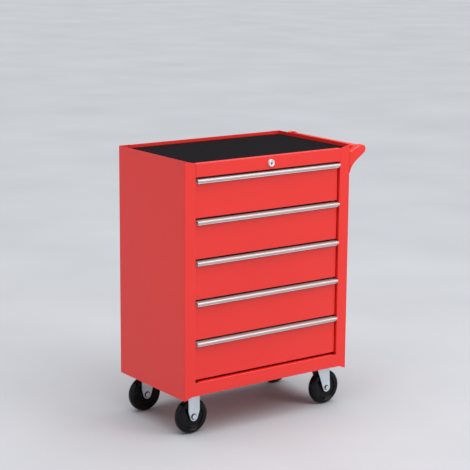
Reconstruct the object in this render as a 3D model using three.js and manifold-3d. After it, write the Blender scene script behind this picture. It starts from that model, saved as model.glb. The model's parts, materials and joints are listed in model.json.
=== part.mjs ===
// A steel roller tool cabinet: a folded sheet body with five drawers on extension slides,
// a padded top with a low rim, a side push handle, a front lock that works a lock bar at
// the back, two rigid casters on the left and two swivel casters on the right.
// Millimetres, +Z up, front to -Y, handle to +X. The origin is on the floor, under the
// middle of the whole cabinet with its handle and drawer pulls.

import * as THREE from 'three';
import { mergeVertices } from 'three/addons/utils/BufferGeometryUtils.js';
import Module from 'manifold-3d';

const wasm = await Module();
wasm.setup();

// Body
const bodyWidth = 555;
const bodyDepth = 328;
const bodyHeight = 650;
const sheet = 1.2;
const foldRadius = 2.2; // outside radius of the folds in the sheet
const seam = 0.3; // gap left where two pieces lie against each other
const overrun = 2; // how far a cutting solid runs past what it cuts
const sink = 0.5; // how far two solids run into each other where they are joined

// Corner posts, folded from the side sheets
const postWidth = 35;
const lipDepth = 34;
const rimRise = 8.4; // side and back rims above the front rail
const footRise = 8.4; // lower edge of the front between the feet
const footSlant = 23;
const footTab = 11;

// Front rails and the drawer opening
const topRailHeight = 40.2;
const openingSill = 46;
const topRailReturn = 12;
const railReturn = 14;

// Top tray and its mat
const matThickness = 3;
const matSink = 0.6; // mat surface below the front rail's top
const matGap = 1.5;
const trayFlange = 12;

// Base pan
const baseSheet = 1.5;
const baseFlange = 20;

// Drawers
const drawerCount = 5;
const frontRecess = 7; // drawer fronts behind the posts
const frontSideGap = 2.2;
const gapAbove = 5.6; // open gap above each pull
const gapBelow = 2.9; // gap under the lowest drawer
const frontReturn = 12;
const boxSheet = 1;
const boxLift = 5;
const boxTopDrop = 15.1; // top of the drawer box below the top of its front
const boxHem = 4;
const boxBackClearance = 18; // box back to the outside of the body's back

// Drawer pulls, a full-width hooked extrusion with its lower end corners cut back
const pullSheet = 1.5;
const pullDrop = 15.4;
const pullReach = 15.6; // lip in front of the drawer face
const pullCrestReach = 13.6;
const pullShoulderReach = 8.5;
const pullCreaseReach = 12.6;
const pullCreaseDrop = 10.6;
const pullRoundShares = [0.25, 0.75]; // pull and end of the face's round, of the crease's drop
const pullLipRoll = 2.2;
const pullLegDrop = 13;
const pullTailReach = 9;
const pullEndGap = 0.8;
const pullEndCut = 10;

// Three-member slides
const slideHeight = 35;
const slideBackGap = 17.5; // slides' rear ends to the outside of the body's back
const slideSheet = 1.2;
const slideDepth = 9.6;
const slideCurl = 3;
const slideFrontGap = 1.5;
const slideCenterLift = 43; // slide centre above the drawer box floor
const slideWidth = 12.7;
const memberSheet = 1;
const ballGap = 0.4;
const middleWebGap = 0.8;
const middleHalf = 13.6;
const middleDepth = 8.6;
const ridgeWidth = 2.6;
const innerHalf = 9.5;
const innerDepth = 8;

// Lock
const lockRadius = 9.8;
const lockProud = 6;
const lockEdge = 1.5; // bevel round the lock's face
const lockBarrelRadius = 8.4;
const lockBarrelLength = 20;
const lockNutRadius = 12;
const lockNutThickness = 4;
const lockCentreDrop = 19.1; // lock axis below the front rail's top
const plugRadius = 6.4;
const plugSink = 0.6;
const plugTail = 6;
const keyWidth = 1.8;
const keyHeight = 7;
const keyDepth = 9;
const keyRoundRadius = 1.8;
const rodRadius = 3.5;
const crankRadius = 9;
const crankEndRadius = 4;
const crankThickness = 3;
const crankStartAngle = -Math.PI / 4;
const crankPinRadius = 2;
const crankPinOverhang = 2;
const crankSlotClearance = 0.8;

// Lock bar at the back
const barWidth = 24;
const barThickness = 2;
const barOffset = 8; // bar's middle to the right of the lock's axis
const barBackGap = 5.3; // bar's back to the back panel
const barTopMargin = 4;
const barFootMargin = 3;
const tongueWidth = 8;
const tongueSheet = 1.5;
const tongueHook = 16;
const tongueDrop = 12; // tongue below the top of the drawer box
const windowClearance = 1.5;
const guideWidth = 12;
const guideWall = 2;
const guideGap = 0.5;
const guideLevels = [0, 2, 4]; // drawers that a guide block sits below
const bracketSetback = 26;
const bracketWidth = 20;
const bracketMargin = 6;
const bracketFoot = 12;
const bracketSheet = 1.6;

// Push handle
const tubeRadius = 10;
const tubeWall = 1.5;
const earSheet = 2.2;
const earDepth = 16;
const earTipOut = 46; // tube axis out from the side
const earTipDrop = 17.5; // tube axis below the body's top
const earRootTop = 22;
const earRootBottom = 84;
const earFlat = 11; // level stretch of the upper edge behind the tube's axis
const earTipTurn = 50; // degrees that the round tip runs on below level
const earChinOut = 38; // the lower edge's curve is pulled towards chin and belly
const earChinDrop = 40;
const earBellyOut = 8;
const earBellyDrop = 46;
const earBoltSetback = 9;
const earBoltDrops = [34, 54];
const earBoltRadius = 2.5;
const earBoltHeadRadius = 4.4;
const earBoltHeadHeight = 3;
const studPlate = 2;
const studPlateMargin = 6;
const studEndProud = 1;

// Casters
const wheelRadius = 50;
const wheelWidth = 25;
const axleDrop = 59.5; // wheel axles below the body's lowest edge
const casterHeight = 127;
const rigidInset = 50; // rigid casters' middle in from the left side
const swivelInset = 56; // swivel casters' pivot in from the right side
const casterInsetY = 46;
const casterTrail = 13;
const plateLength = 84;
const plateWidth = 60;
const plateThickness = 2.5;
const plateCornerRadius = 5;
const plateBoltX = 34;
const plateBoltY = 22;
const forkSheet = 2.5;
const forkBend = 5;
const forkWheelGap = 2;
const forkWidth = 36;
const forkTipRadius = 12;
const forkShoulderRise = 17; // fork starts to narrow this far above the axle
const raceRadius = 24;
const raceHeight = 4.6;
const swivelGap = 0.4;
const crownRadius = 21;
const crownHeight = 3.5;
const crownHalf = 21.7;
const kingpinRadius = 6;
const kingpinHeadRadius = 9;
const kingpinHeadHeight = 3;
const axleRadius = 5;
const axleClearance = 0.3;
const axleNutRadius = 9.6;
const axleNutHeight = 6;
const axleEndProud = 2.5;
const axleEndRadius = 4.4;
const hubRadius = 13;
const hubProud = 1.2; // hub faces beyond the tyre faces
const webSink = 4.5; // wheel disc behind the tyre faces
const webRadius = 33;
const webTaper = 1.5;
const hubTaper = 1;
const treadRadius = 11; // round of the tyre's two shoulders
const boltRadius = 4;
const boltHeadRadius = 7.5;
const boltHeadHeight = 5.3;
const boltNutHeight = 6.5;
const boltEndProud = 1;

// How finely round forms are cut
const roundSides = 24;
const smallSides = 14;
const tinySides = 8;
const hexSides = 6;
const wheelSides = 24;
const arcSteps = 4;
const pullSteps = 2;
const cornerSteps = 2;
const treadSteps = 3;

// Places worked out from the sizes above
const halfWidth = bodyWidth / 2;
const halfDepth = bodyDepth / 2;
const railTop = bodyHeight - rimRise;
const openingTop = railTop - topRailHeight;
const openingHalf = halfWidth - postWidth;
const matTop = railTop - matSink;
const trayTop = matTop - matThickness - seam;
const trayUnder = trayTop - sheet;
const bodyFloorGap = wheelRadius + axleDrop; // floor to the body's lowest edge
const baseUnder = casterHeight - bodyFloorGap;
const baseTop = baseUnder + seam + baseSheet;
const baseFlangeTop = baseTop + baseFlange;
const backInside = halfDepth - 2 * sheet - seam;
const lipTop = trayTop - trayFlange - seam;
const pitch = (openingTop - openingSill - gapBelow) / drawerCount;
const frontPlane = -halfDepth + frontRecess;
const frontBack = frontPlane + frontReturn;
const frontHalf = openingHalf - frontSideGap;
const frontHeight = pitch - gapAbove - pullSheet - seam;
const boxHeight = frontHeight - boxLift - boxTopDrop;
const boxHalf = openingHalf - slideWidth - seam;
const boxBack = halfDepth - boxBackClearance;
const slideFront = frontBack + slideFrontGap;
const slideBack = halfDepth - slideBackGap;
const pullHalf = frontHalf - pullEndGap;
const lockZ = railTop - lockCentreDrop;
const barBack = backInside - barBackGap;
const barFront = barBack - barThickness;
const crankFront = barFront - crankThickness - guideGap * 2;
const earTipRadius = tubeRadius + seam + earSheet;
const handleReach = seam + earTipOut + earTipRadius;
const pullProud = pullReach - frontRecess;
const forkInner = wheelWidth / 2 + forkWheelGap;
const forkOuter = forkInner + forkSheet;
const plateTop = baseUnder;
const plateUnder = plateTop - plateThickness;
const axleZ = -axleDrop;
const levels = Array.from({ length: drawerCount }, (_, k) => k);

const paint = { color: 0xd8332e, roughness: 0.35, metalness: 0 };
const steel = { color: 0xaab2b8, roughness: 0.35, metalness: 1 };
const chrome = { color: 0xdfe2e4, roughness: 0.12, metalness: 1 };
const aluminium = { color: 0xdcdad8, roughness: 0.3, metalness: 1 };
const rubber = { color: 0x1b1b1c, roughness: 0.45, metalness: 0 };
const foam = { color: 0x28252a, roughness: 0.9, metalness: 0 };

const cabinet = new THREE.Group();
cabinet.position.set(-handleReach / 2, pullProud / 2, bodyFloorGap);

// A closed geometry as a solid that can be joined and cut
function solid(geometry) {
  const bare = geometry.clone();
  bare.deleteAttribute('normal');
  bare.deleteAttribute('uv');
  const merged = mergeVertices(bare, 1e-4);
  const index = [];
  const source = merged.index.array;
  for (let i = 0; i < source.length; i += 3) {
    const [a, b, c] = [source[i], source[i + 1], source[i + 2]];
    if (a !== b && b !== c && c !== a) index.push(a, b, c);
  }
  return new wasm.Manifold(new wasm.Mesh({
    numProp: 3,
    vertProperties: new Float32Array(merged.attributes.position.array),
    triVerts: new Uint32Array(index),
  }));
}

function join(...solids) {
  return solids.reduce((sum, next) => sum.add(next));
}

function cut(body, ...tools) {
  return tools.reduce((rest, tool) => rest.subtract(tool), body);
}

function addPart(name, body, finish, at = [0, 0, 0], parent = cabinet) {
  const mesh = body.getMesh();
  const geometry = new THREE.BufferGeometry();
  geometry.setAttribute('position', new THREE.BufferAttribute(new Float32Array(mesh.vertProperties), 3));
  geometry.setIndex(new THREE.BufferAttribute(new Uint32Array(mesh.triVerts), 1));
  geometry.computeVertexNormals();
  const part = new THREE.Mesh(geometry, new THREE.MeshStandardMaterial(finish));
  part.name = name;
  part.position.set(...at);
  parent.add(part);
  return part;
}

// A block between two corners
function block([x0, y0, z0], [x1, y1, z1]) {
  const geometry = new THREE.BoxGeometry(Math.abs(x1 - x0), Math.abs(y1 - y0), Math.abs(z1 - z0));
  return solid(geometry.translate((x0 + x1) / 2, (y0 + y1) / 2, (z0 + z1) / 2));
}

function outline(points) {
  return new THREE.Shape(points.map(([u, v]) => new THREE.Vector2(u, v)));
}

function asShape(profile) {
  return Array.isArray(profile) ? outline(profile) : profile;
}

// Profiles drawn in plan and raised along Z, drawn in (Y, Z) and run along X,
// or drawn in (X, Z) and run along Y
function alongZ(profile, z0, z1, steps = arcSteps) {
  const options = { depth: z1 - z0, bevelEnabled: false, curveSegments: steps };
  return solid(new THREE.ExtrudeGeometry(asShape(profile), options).translate(0, 0, z0));
}

function alongX(profile, x0, x1) {
  const options = { depth: x1 - x0, bevelEnabled: false, curveSegments: arcSteps };
  const geometry = new THREE.ExtrudeGeometry(asShape(profile), options);
  const turn = new THREE.Matrix4().set(0, 0, 1, 0, 1, 0, 0, 0, 0, 1, 0, 0, 0, 0, 0, 1);
  return solid(geometry.applyMatrix4(turn).translate(x0, 0, 0));
}

function alongY(profile, y0, y1) {
  const options = { depth: y1 - y0, bevelEnabled: false, curveSegments: arcSteps };
  const geometry = new THREE.ExtrudeGeometry(asShape(profile), options).rotateX(Math.PI / 2);
  return solid(geometry.translate(0, y1, 0));
}

// Round bars along each axis, given by centre and span
function barY(radius, [x, z], y0, y1, sides = smallSides) {
  const geometry = new THREE.CylinderGeometry(radius, radius, y1 - y0, sides);
  return solid(geometry.translate(x, (y0 + y1) / 2, z));
}

function barX(radius, [y, z], x0, x1, sides = smallSides) {
  const geometry = new THREE.CylinderGeometry(radius, radius, x1 - x0, sides).rotateZ(Math.PI / 2);
  return solid(geometry.translate((x0 + x1) / 2, y, z));
}

function barZ(radius, [x, y], z0, z1, sides = smallSides) {
  const geometry = new THREE.CylinderGeometry(radius, radius, z1 - z0, sides).rotateX(Math.PI / 2);
  return solid(geometry.translate(x, y, (z0 + z1) / 2));
}

// A revolved profile of (radius, height) points about Y, bottom to top on the outside
function turned(points, sides = roundSides) {
  const profile = points.map(([r, y]) => new THREE.Vector2(r, y));
  return solid(new THREE.LatheGeometry(profile, sides));
}

// A folded sheet's section from the corner points of its inner and its outer face, with
// every fold rounded
function folded(inner, outer) {
  const shape = new THREE.Path();
  shape.moveTo(...inner[0]);
  [[inner, foldRadius - sheet], [outer, foldRadius]].forEach(([points, radius]) => {
    points.forEach((point, i) => {
      if (i === 0 || i === points.length - 1) shape.lineTo(...point);
      else roundCorner(shape, points[i - 1], point, points[i + 1], radius);
    });
  });
  return shape.getPoints(cornerSteps);
}

// Runs a path to a corner and round it
function roundCorner(shape, from, corner, to, radius) {
  const at = new THREE.Vector2(...corner);
  const back = new THREE.Vector2(...from).sub(at).setLength(radius);
  const on = new THREE.Vector2(...to).sub(at).setLength(radius);
  shape.lineTo(at.x + back.x, at.y + back.y);
  shape.quadraticCurveTo(at.x, at.y, at.x + on.x, at.y + on.y);
}

// Side sheets, each folded into a front and a rear post with lips for the slides
function sidePanel(side) {
  const outer = side * halfWidth;
  const x = (inward) => outer - side * inward;
  const plan = folded([
    [x(postWidth - sheet), halfDepth - lipDepth],
    [x(postWidth - sheet), halfDepth - sheet],
    [x(sheet), halfDepth - sheet],
    [x(sheet), -halfDepth + sheet],
    [x(postWidth - sheet), -halfDepth + sheet],
    [x(postWidth - sheet), -halfDepth + lipDepth],
  ], [
    [x(postWidth), -halfDepth + lipDepth],
    [x(postWidth), -halfDepth],
    [x(0), -halfDepth],
    [x(0), halfDepth],
    [x(postWidth), halfDepth],
    [x(postWidth), halfDepth - lipDepth],
  ]);
  const past = postWidth + footTab + overrun;
  const crest = [
    [x(0), bodyHeight],
    [x(past), bodyHeight - rimRise * past / postWidth],
    [x(past), bodyHeight + overrun],
    [x(0), bodyHeight + overrun],
  ];
  const foot = [
    [x(0), 0],
    [x(footSlant), footRise],
    [x(past), footRise],
    [x(past), -overrun],
    [x(0), -overrun],
  ];
  const tab = [x(postWidth - overrun), x(postWidth + footTab)];
  const lipFace = [x(sheet + overrun), x(past)];
  const inFront = -halfDepth - overrun;
  const behind = halfDepth + overrun;
  let panel = join(
    alongZ(plan, 0, bodyHeight),
    block([tab[0], -halfDepth, 0], [tab[1], -halfDepth + sheet, openingSill]),
  );
  panel = cut(
    panel,
    alongY(crest, inFront, -halfDepth + sheet),
    alongY(foot, inFront, -halfDepth + sheet),
    alongY(foot, halfDepth - sheet, behind),
    block([lipFace[0], -halfDepth + sheet, lipTop], [lipFace[1], halfDepth - sheet, bodyHeight + overrun]),
    block([lipFace[0], -halfDepth + sheet, -overrun], [lipFace[1], halfDepth - sheet, baseFlangeTop + seam]),
  );
  if (side > 0) panel = cut(panel, ...earBolts((y, z) => handleHole(y, z)));
  return panel;
}

// Calls a function for each bolt of the two handle ears
function earBolts(make) {
  return [-1, 1].flatMap((end) => earBoltDrops.map(
    (drop) => make(end * (halfDepth - earBoltSetback), bodyHeight - drop),
  ));
}

function handleHole(y, z) {
  return barX(earBoltRadius + seam, [y, z], halfWidth - sheet - overrun, halfWidth + overrun, tinySides);
}

function backPanel() {
  const half = openingHalf - seam;
  const rear = halfDepth - sheet - seam;
  return join(
    block([-half, rear - sheet, footRise], [half, rear, bodyHeight]),
    block([-half, rear - 2 * sheet, matTop + seam], [half, rear - sheet / 2, bodyHeight]),
  );
}

// Cuts the two front corners of a folded pan back from the posts' folds
function cornerReliefs(half, front, z0, z1) {
  const relief = foldRadius - sheet;
  return [-1, 1].map((side) => block(
    [side * (half - relief), front - overrun, z0],
    [side * (half + overrun), front + relief, z1],
  ));
}

function basePan() {
  const half = halfWidth - sheet - seam;
  const front = -halfDepth + sheet + seam;
  const back = backInside - seam;
  const floor = baseTop - baseSheet;
  const shell = block([-half, front, floor], [half, back, baseFlangeTop]);
  const hollow = block(
    [-half + baseSheet, front + baseSheet, baseTop],
    [half - baseSheet, back - baseSheet, baseFlangeTop + overrun],
  );
  const holes = plateBolts(
    (x, y) => barZ(boltRadius + seam, [x, y], floor - overrun, baseTop + overrun, tinySides),
  );
  const reliefs = cornerReliefs(half, front, floor - overrun, baseFlangeTop + overrun);
  return cut(shell, hollow, ...reliefs, ...holes);
}

// Calls a function for each of the bolts that hold the four casters
function plateBolts(make) {
  return casterPlaces.flatMap(([cx, cy]) => [-1, 1].flatMap(
    (i) => [-1, 1].map((j) => make(cx + i * plateBoltX, cy + j * plateBoltY)),
  ));
}

const casterPlaces = [rigidInset - halfWidth, halfWidth - swivelInset].flatMap((x) => [-1, 1].map(
  (end) => [x, end * (halfDepth - casterInsetY)],
));

function topTray() {
  const half = halfWidth - sheet - seam;
  const front = -halfDepth + sheet + seam;
  const back = backInside - sheet - seam;
  const shell = block([-half, front, trayTop - trayFlange], [half, back, trayTop]);
  const hollow = block(
    [-half + sheet, front - overrun, trayTop - trayFlange - overrun],
    [half - sheet, back - sheet, trayUnder],
  );
  return cut(shell, hollow, ...cornerReliefs(half, front, trayTop - trayFlange - overrun, trayTop + overrun));
}

function topMat() {
  const half = halfWidth - sheet - matGap;
  const front = -halfDepth + topRailReturn + matGap;
  const back = backInside - sheet - matGap;
  return block([-half, front, matTop - matThickness], [half, back, matTop]);
}

// A rail of channel section: a face with a return at its top and another at its foot
function rail(half, low, high, topReturn, footReturn) {
  const face = -halfDepth;
  return alongX([
    [face, low],
    [face + footReturn, low],
    [face + footReturn, low + sheet],
    [face + sheet, low + sheet],
    [face + sheet, high - sheet],
    [face + topReturn, high - sheet],
    [face + topReturn, high],
    [face, high],
  ], -half, half);
}

function topRail() {
  const hole = barY(lockBarrelRadius + seam, [0, lockZ], -halfDepth - overrun, -halfDepth + sheet + overrun);
  return cut(rail(openingHalf - seam, openingTop, railTop, topRailReturn, railReturn), hole);
}

function bottomRail() {
  return rail(openingHalf - footTab - seam, footRise, openingSill, railReturn, railReturn);
}

// Slide members. Their sections are drawn from the post's lip inwards (u) and about the
// slide's middle height (v), and a side of -1 or 1 puts them on the left or the right.
function slideBar(section, side, lift, y0, y1) {
  const place = ([u, v]) => [side * (openingHalf - seam - u), lift + v];
  return alongY(section.map(place), y0, y1);
}

function mirrored(half) {
  return [...half, ...half.map(([u, v]) => [u, -v]).reverse()];
}

const outerSection = mirrored([
  [0, slideHeight / 2],
  [slideDepth, slideHeight / 2],
  [slideDepth, slideHeight / 2 - slideCurl],
  [slideDepth - slideSheet, slideHeight / 2 - slideCurl],
  [slideDepth - slideSheet, slideHeight / 2 - slideSheet],
  [slideSheet, slideHeight / 2 - slideSheet],
]);

const middleStart = slideSheet + middleWebGap;
const middleRidge = (slideDepth - ridgeWidth) / 2;
const middleRidgeTop = slideHeight / 2 - slideSheet - ballGap;
const middleSection = mirrored([
  [middleStart, middleHalf],
  [middleRidge, middleHalf],
  [middleRidge, middleRidgeTop],
  [middleRidge + ridgeWidth, middleRidgeTop],
  [middleRidge + ridgeWidth, middleHalf],
  [middleStart + middleDepth, middleHalf],
  [middleStart + middleDepth, middleHalf - memberSheet],
  [middleStart + memberSheet, middleHalf - memberSheet],
]);

const innerStart = slideWidth - innerDepth;
const innerEnd = slideWidth + memberSheet / 2;
const innerRidge = innerStart + memberSheet;
const innerRidgeTop = middleHalf - memberSheet - ballGap;
const innerSection = [
  [innerStart, innerHalf - memberSheet],
  [innerStart, innerHalf],
  [innerRidge, innerHalf],
  [innerRidge, innerRidgeTop],
  [innerRidge + ridgeWidth, innerRidgeTop],
  [innerRidge + ridgeWidth, innerHalf],
  [innerEnd, innerHalf],
  [innerEnd, innerHalf - memberSheet],
];

function drawerBase(k) {
  return openingTop - (k + 1) * pitch;
}

function slideLift(k) {
  return drawerBase(k) + boxLift + slideCenterLift;
}

// The five outer members of one side, held at the right spacing by a strip at each end
function slideRack(side) {
  const web = (y0, y1) => block(
    [side * (openingHalf - seam), y0, slideLift(drawerCount - 1) - slideHeight / 2],
    [side * (openingHalf - seam - slideSheet), y1, slideLift(0) + slideHeight / 2],
  );
  const bars = levels.map((k) => slideBar(outerSection, side, slideLift(k), slideFront, slideBack));
  return join(web(slideFront, -halfDepth + lipDepth), web(halfDepth - lipDepth, slideBack), ...bars);
}

function slideMiddle(side, k) {
  return slideBar(middleSection, side, slideLift(k), slideFront, slideBack);
}

// The drawer's own member: two ball races standing off the side of the drawer box
function slideInner(side, k) {
  const end = Math.min(slideBack, boxBack);
  const lower = innerSection.map(([u, v]) => [u, -v]);
  return [innerSection, lower].map((half) => slideBar(half, side, slideLift(k), slideFront, end));
}

// A drawer's front, folded as a shallow pan
function drawerFront(k) {
  const base = drawerBase(k);
  return cut(
    block([-frontHalf, frontPlane, base], [frontHalf, frontBack, base + frontHeight]),
    block(
      [-frontHalf + boxSheet, frontPlane + boxSheet, base + boxSheet],
      [frontHalf - boxSheet, frontBack + overrun, base + frontHeight - boxSheet],
    ),
  );
}

// The drawer's tray with hemmed edges, its slide members and the tongue for the lock bar
function drawerBox(k) {
  const floor = drawerBase(k) + boxLift;
  const top = floor + boxHeight;
  const front = frontPlane + boxSheet + seam;
  const hemmed = [-boxHalf + boxHem, boxHalf - boxHem];
  const inside = [-boxHalf + boxSheet, boxHalf - boxSheet];
  const shell = cut(
    block([-boxHalf, front, floor], [boxHalf, boxBack, top]),
    block([inside[0], front + boxSheet, floor + boxSheet], [inside[1], boxBack - boxSheet, top - boxSheet]),
    block([hemmed[0], front + boxSheet, floor + boxSheet], [hemmed[1], boxBack - boxHem, top + overrun]),
  );
  return join(shell, lockTongue(k), ...slideInner(-1, k), ...slideInner(1, k));
}

function tongueLevel(k) {
  return drawerBase(k) + boxLift + boxHeight - tongueDrop;
}

function lockTongue(k) {
  const top = tongueLevel(k);
  const hookFront = barBack + tongueSheet - seam;
  const root = boxBack - boxSheet / 2;
  const section = [
    [root, top],
    [root, top - tongueSheet],
    [hookFront, top - tongueSheet],
    [hookFront, top - tongueHook],
    [hookFront + tongueSheet, top - tongueHook],
    [hookFront + tongueSheet, top],
  ];
  return alongX(section, barOffset - tongueWidth / 2, barOffset + tongueWidth / 2);
}

// The pull's section: reach is in front of the drawer's face, drop is below the pull's top
function pullSection() {
  const wall = pullSheet;
  const crest = pullCrestReach;
  const lip = pullReach;
  const [roundPull, roundEnd] = pullRoundShares.map((share) => -pullCreaseDrop * share);
  const shape = new THREE.Shape();
  shape.moveTo(-pullTailReach, 0);
  shape.lineTo(pullShoulderReach, 0);
  shape.bezierCurveTo(crest - wall, 0, crest, roundPull, crest, roundEnd);
  shape.lineTo(pullCreaseReach, -pullCreaseDrop);
  shape.lineTo(lip - wall, -pullDrop + pullLipRoll);
  shape.lineTo(lip, -pullDrop + pullLipRoll / 2);
  shape.lineTo(lip - wall / 2, -pullDrop);
  shape.lineTo(lip - wall, -pullDrop);
  shape.lineTo(pullCreaseReach - wall, -pullCreaseDrop - wall / 2);
  shape.lineTo(pullCreaseReach - wall, -pullCreaseDrop + wall / 2);
  shape.lineTo(crest - wall, roundEnd);
  shape.quadraticCurveTo(crest - wall, -wall, pullShoulderReach, -wall);
  shape.lineTo(seam + wall, -wall);
  shape.lineTo(seam + wall, -pullLegDrop);
  shape.lineTo(seam, -pullLegDrop);
  shape.lineTo(seam, -wall);
  shape.lineTo(-pullTailReach, -wall);
  return shape;
}

// The pull's front view, with its lower corners cut back in a curve
function pullFace(top) {
  const low = top - pullDrop - overrun;
  const r = pullEndCut;
  const shape = new THREE.Shape();
  shape.moveTo(-pullHalf, top + overrun);
  shape.lineTo(-pullHalf, top - pullDrop + r);
  shape.quadraticCurveTo(-pullHalf, top - pullDrop, -pullHalf + r, low);
  shape.lineTo(pullHalf - r, low);
  shape.quadraticCurveTo(pullHalf, top - pullDrop, pullHalf, top - pullDrop + r);
  shape.lineTo(pullHalf, top + overrun);
  return shape;
}

function drawerPull(k) {
  const top = drawerBase(k) + pitch - gapAbove;
  const options = { depth: 2 * pullHalf, bevelEnabled: false, curveSegments: pullSteps };
  const geometry = new THREE.ExtrudeGeometry(pullSection(), options);
  const turn = new THREE.Matrix4().set(0, 0, -1, 0, -1, 0, 0, 0, 0, 1, 0, 0, 0, 0, 0, 1);
  const bar = solid(geometry.applyMatrix4(turn).translate(pullHalf, frontPlane, top));
  const view = alongY(pullFace(top), frontPlane - pullReach - overrun, frontPlane + pullTailReach + overrun);
  return bar.intersect(view);
}

// Lock in the front rail, its key plug, and the shaft that turns the crank at the back
function lockHousing() {
  const face = -halfDepth;
  const ring = turned([
    [plugRadius + seam, -lockProud],
    [lockRadius - lockEdge, -lockProud],
    [lockRadius, -lockProud + lockEdge],
    [lockRadius, -seam],
    [lockBarrelRadius, -seam],
    [lockBarrelRadius, lockBarrelLength],
    [plugRadius + seam, lockBarrelLength],
    [plugRadius + seam, -lockProud],
  ]);
  const nutStart = sheet + seam;
  const nutEnd = nutStart + lockNutThickness;
  const nut = cut(
    barY(lockNutRadius, [0, 0], nutStart, nutEnd, hexSides),
    barY(lockBarrelRadius - seam, [0, 0], nutStart - overrun, nutEnd + overrun, roundSides),
  );
  return join(ring, nut).translate([0, face, lockZ]);
}

function lockPlug() {
  const face = -halfDepth - lockProud + plugSink;
  const end = -halfDepth + lockBarrelLength + plugTail;
  const slot = block(
    [-keyWidth / 2, face - overrun, lockZ - keyHeight / 2],
    [keyWidth / 2, face + keyDepth, lockZ + keyHeight / 2],
  );
  const round = barY(keyRoundRadius, [0, lockZ], face - overrun, face + keyDepth, tinySides);
  return cut(barY(plugRadius, [0, lockZ], face, end, roundSides), slot, round);
}

function lockRod() {
  const start = -halfDepth + lockBarrelLength + plugTail + seam;
  const pin = [crankRadius * Math.cos(crankStartAngle), lockZ + crankRadius * Math.sin(crankStartAngle)];
  const [px, pz] = [crankRadius, 0];
  const arm = new THREE.Shape();
  arm.absarc(0, 0, crankEndRadius, Math.PI / 2, -Math.PI / 2, false);
  arm.absarc(px, pz, crankEndRadius, -Math.PI / 2, Math.PI / 2, false);
  const turnedArm = new THREE.ExtrudeGeometry(arm, {
    depth: crankThickness, bevelEnabled: false, curveSegments: arcSteps,
  });
  turnedArm.rotateZ(crankStartAngle).rotateX(Math.PI / 2);
  turnedArm.translate(0, crankFront + crankThickness, lockZ);
  return join(
    barY(rodRadius, [0, lockZ], start, crankFront + crankThickness / 2),
    solid(turnedArm),
    barY(crankPinRadius, pin, crankFront + crankThickness / 2, barBack + crankPinOverhang, tinySides),
  );
}

const crankDrop = -crankRadius * Math.sin(crankStartAngle);
const barTop = lockZ - crankDrop + crankPinRadius + crankSlotClearance + barTopMargin;
const lockLift = 2 * crankDrop;

// The lock bar: a window for each drawer's hooked tongue and a slot for the crank's pin
function lockBar() {
  const x0 = barOffset - barWidth / 2;
  const low = guideTop(drawerCount - 1) - guideWidth - lockLift - barFootMargin;
  const shape = outline([[x0, low], [x0 + barWidth, low], [x0 + barWidth, barTop], [x0, barTop]]);
  for (let k = 0; k < drawerCount; k += 1) {
    const top = tongueLevel(k) + windowClearance;
    const bottom = tongueLevel(k) - tongueHook - windowClearance;
    const half = tongueWidth / 2 + windowClearance;
    shape.holes.push(new THREE.Path([
      new THREE.Vector2(barOffset - half, bottom),
      new THREE.Vector2(barOffset + half, bottom),
      new THREE.Vector2(barOffset + half, top),
      new THREE.Vector2(barOffset - half, top),
    ]));
  }
  const reach = crankPinRadius + crankSlotClearance;
  const nearX = crankRadius * Math.cos(crankStartAngle);
  const slot = new THREE.Path();
  slot.absarc(nearX, lockZ - crankDrop, reach, Math.PI / 2, -Math.PI / 2, false);
  slot.absarc(crankRadius, lockZ - crankDrop, reach, -Math.PI / 2, Math.PI / 2, false);
  shape.holes.push(slot);
  return alongY(shape, barFront, barBack);
}

// A strip on the back panel with three blocks that the lock bar slides through
function guideTop(k) {
  return tongueLevel(k) - tongueHook - windowClearance - lockLift;
}

function lockGuide() {
  const half = barWidth / 2 + guideGap + guideWall;
  const wall = backInside - seam;
  const front = barFront - guideGap - guideWall;
  const strip = block(
    [barOffset - half, wall - sheet, guideTop(guideLevels.at(-1)) - guideWidth],
    [barOffset + half, wall, guideTop(guideLevels[0])],
  );
  return join(strip, ...guideLevels.map((k) => cut(
    block([barOffset - half, front, guideTop(k) - guideWidth], [barOffset + half, wall, guideTop(k)]),
    block(
      [barOffset - half + guideWall, barFront - guideGap, guideTop(k) - guideWidth - overrun],
      [barOffset + half - guideWall, barBack + guideGap, guideTop(k) + overrun],
    ),
  )));
}

// The bracket under the tray that carries the shaft's rear end
function rodBracket() {
  const y1 = boxBack - bracketSetback;
  const y0 = y1 - bracketSheet;
  const half = bracketWidth / 2;
  const ceiling = trayUnder - seam;
  const plate = cut(
    block([-half, y0, lockZ - rodRadius - bracketMargin], [half, y1, ceiling]),
    barY(rodRadius + seam, [0, lockZ], y0 - overrun, y1 + overrun),
  );
  return join(plate, block([-half, y0 - bracketFoot, ceiling - bracketSheet], [half, y1, ceiling]));
}

// A pressed ear's outline in (X, Z), drawn from the side sheet outwards and the body's
// top downwards, and drawn smaller by an inset for its hollow side
function earOutline(inset) {
  const r = earTipRadius - inset;
  const flatDrop = earTipDrop - r;
  const slope = Math.atan2(earRootTop - earTipDrop + earTipRadius, earTipOut - earFlat);
  const flatStart = earTipOut - earFlat + inset * Math.tan(slope / 2);
  const turn = THREE.MathUtils.degToRad(earTipTurn);
  const shape = new THREE.Shape();
  shape.moveTo(inset, -flatDrop - (flatStart - inset) * Math.tan(slope));
  shape.lineTo(flatStart, -flatDrop);
  shape.lineTo(earTipOut, -flatDrop);
  shape.absarc(earTipOut, -earTipDrop, r, Math.PI / 2, -turn, true);
  shape.bezierCurveTo(
    earChinOut - inset * Math.cos(turn),
    -earChinDrop + inset * Math.sin(turn),
    earBellyOut,
    -earBellyDrop + inset * Math.SQRT2,
    inset,
    -earRootBottom + (earRootBottom - earBellyDrop) * inset / earBellyOut,
  );
  return shape;
}

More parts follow.
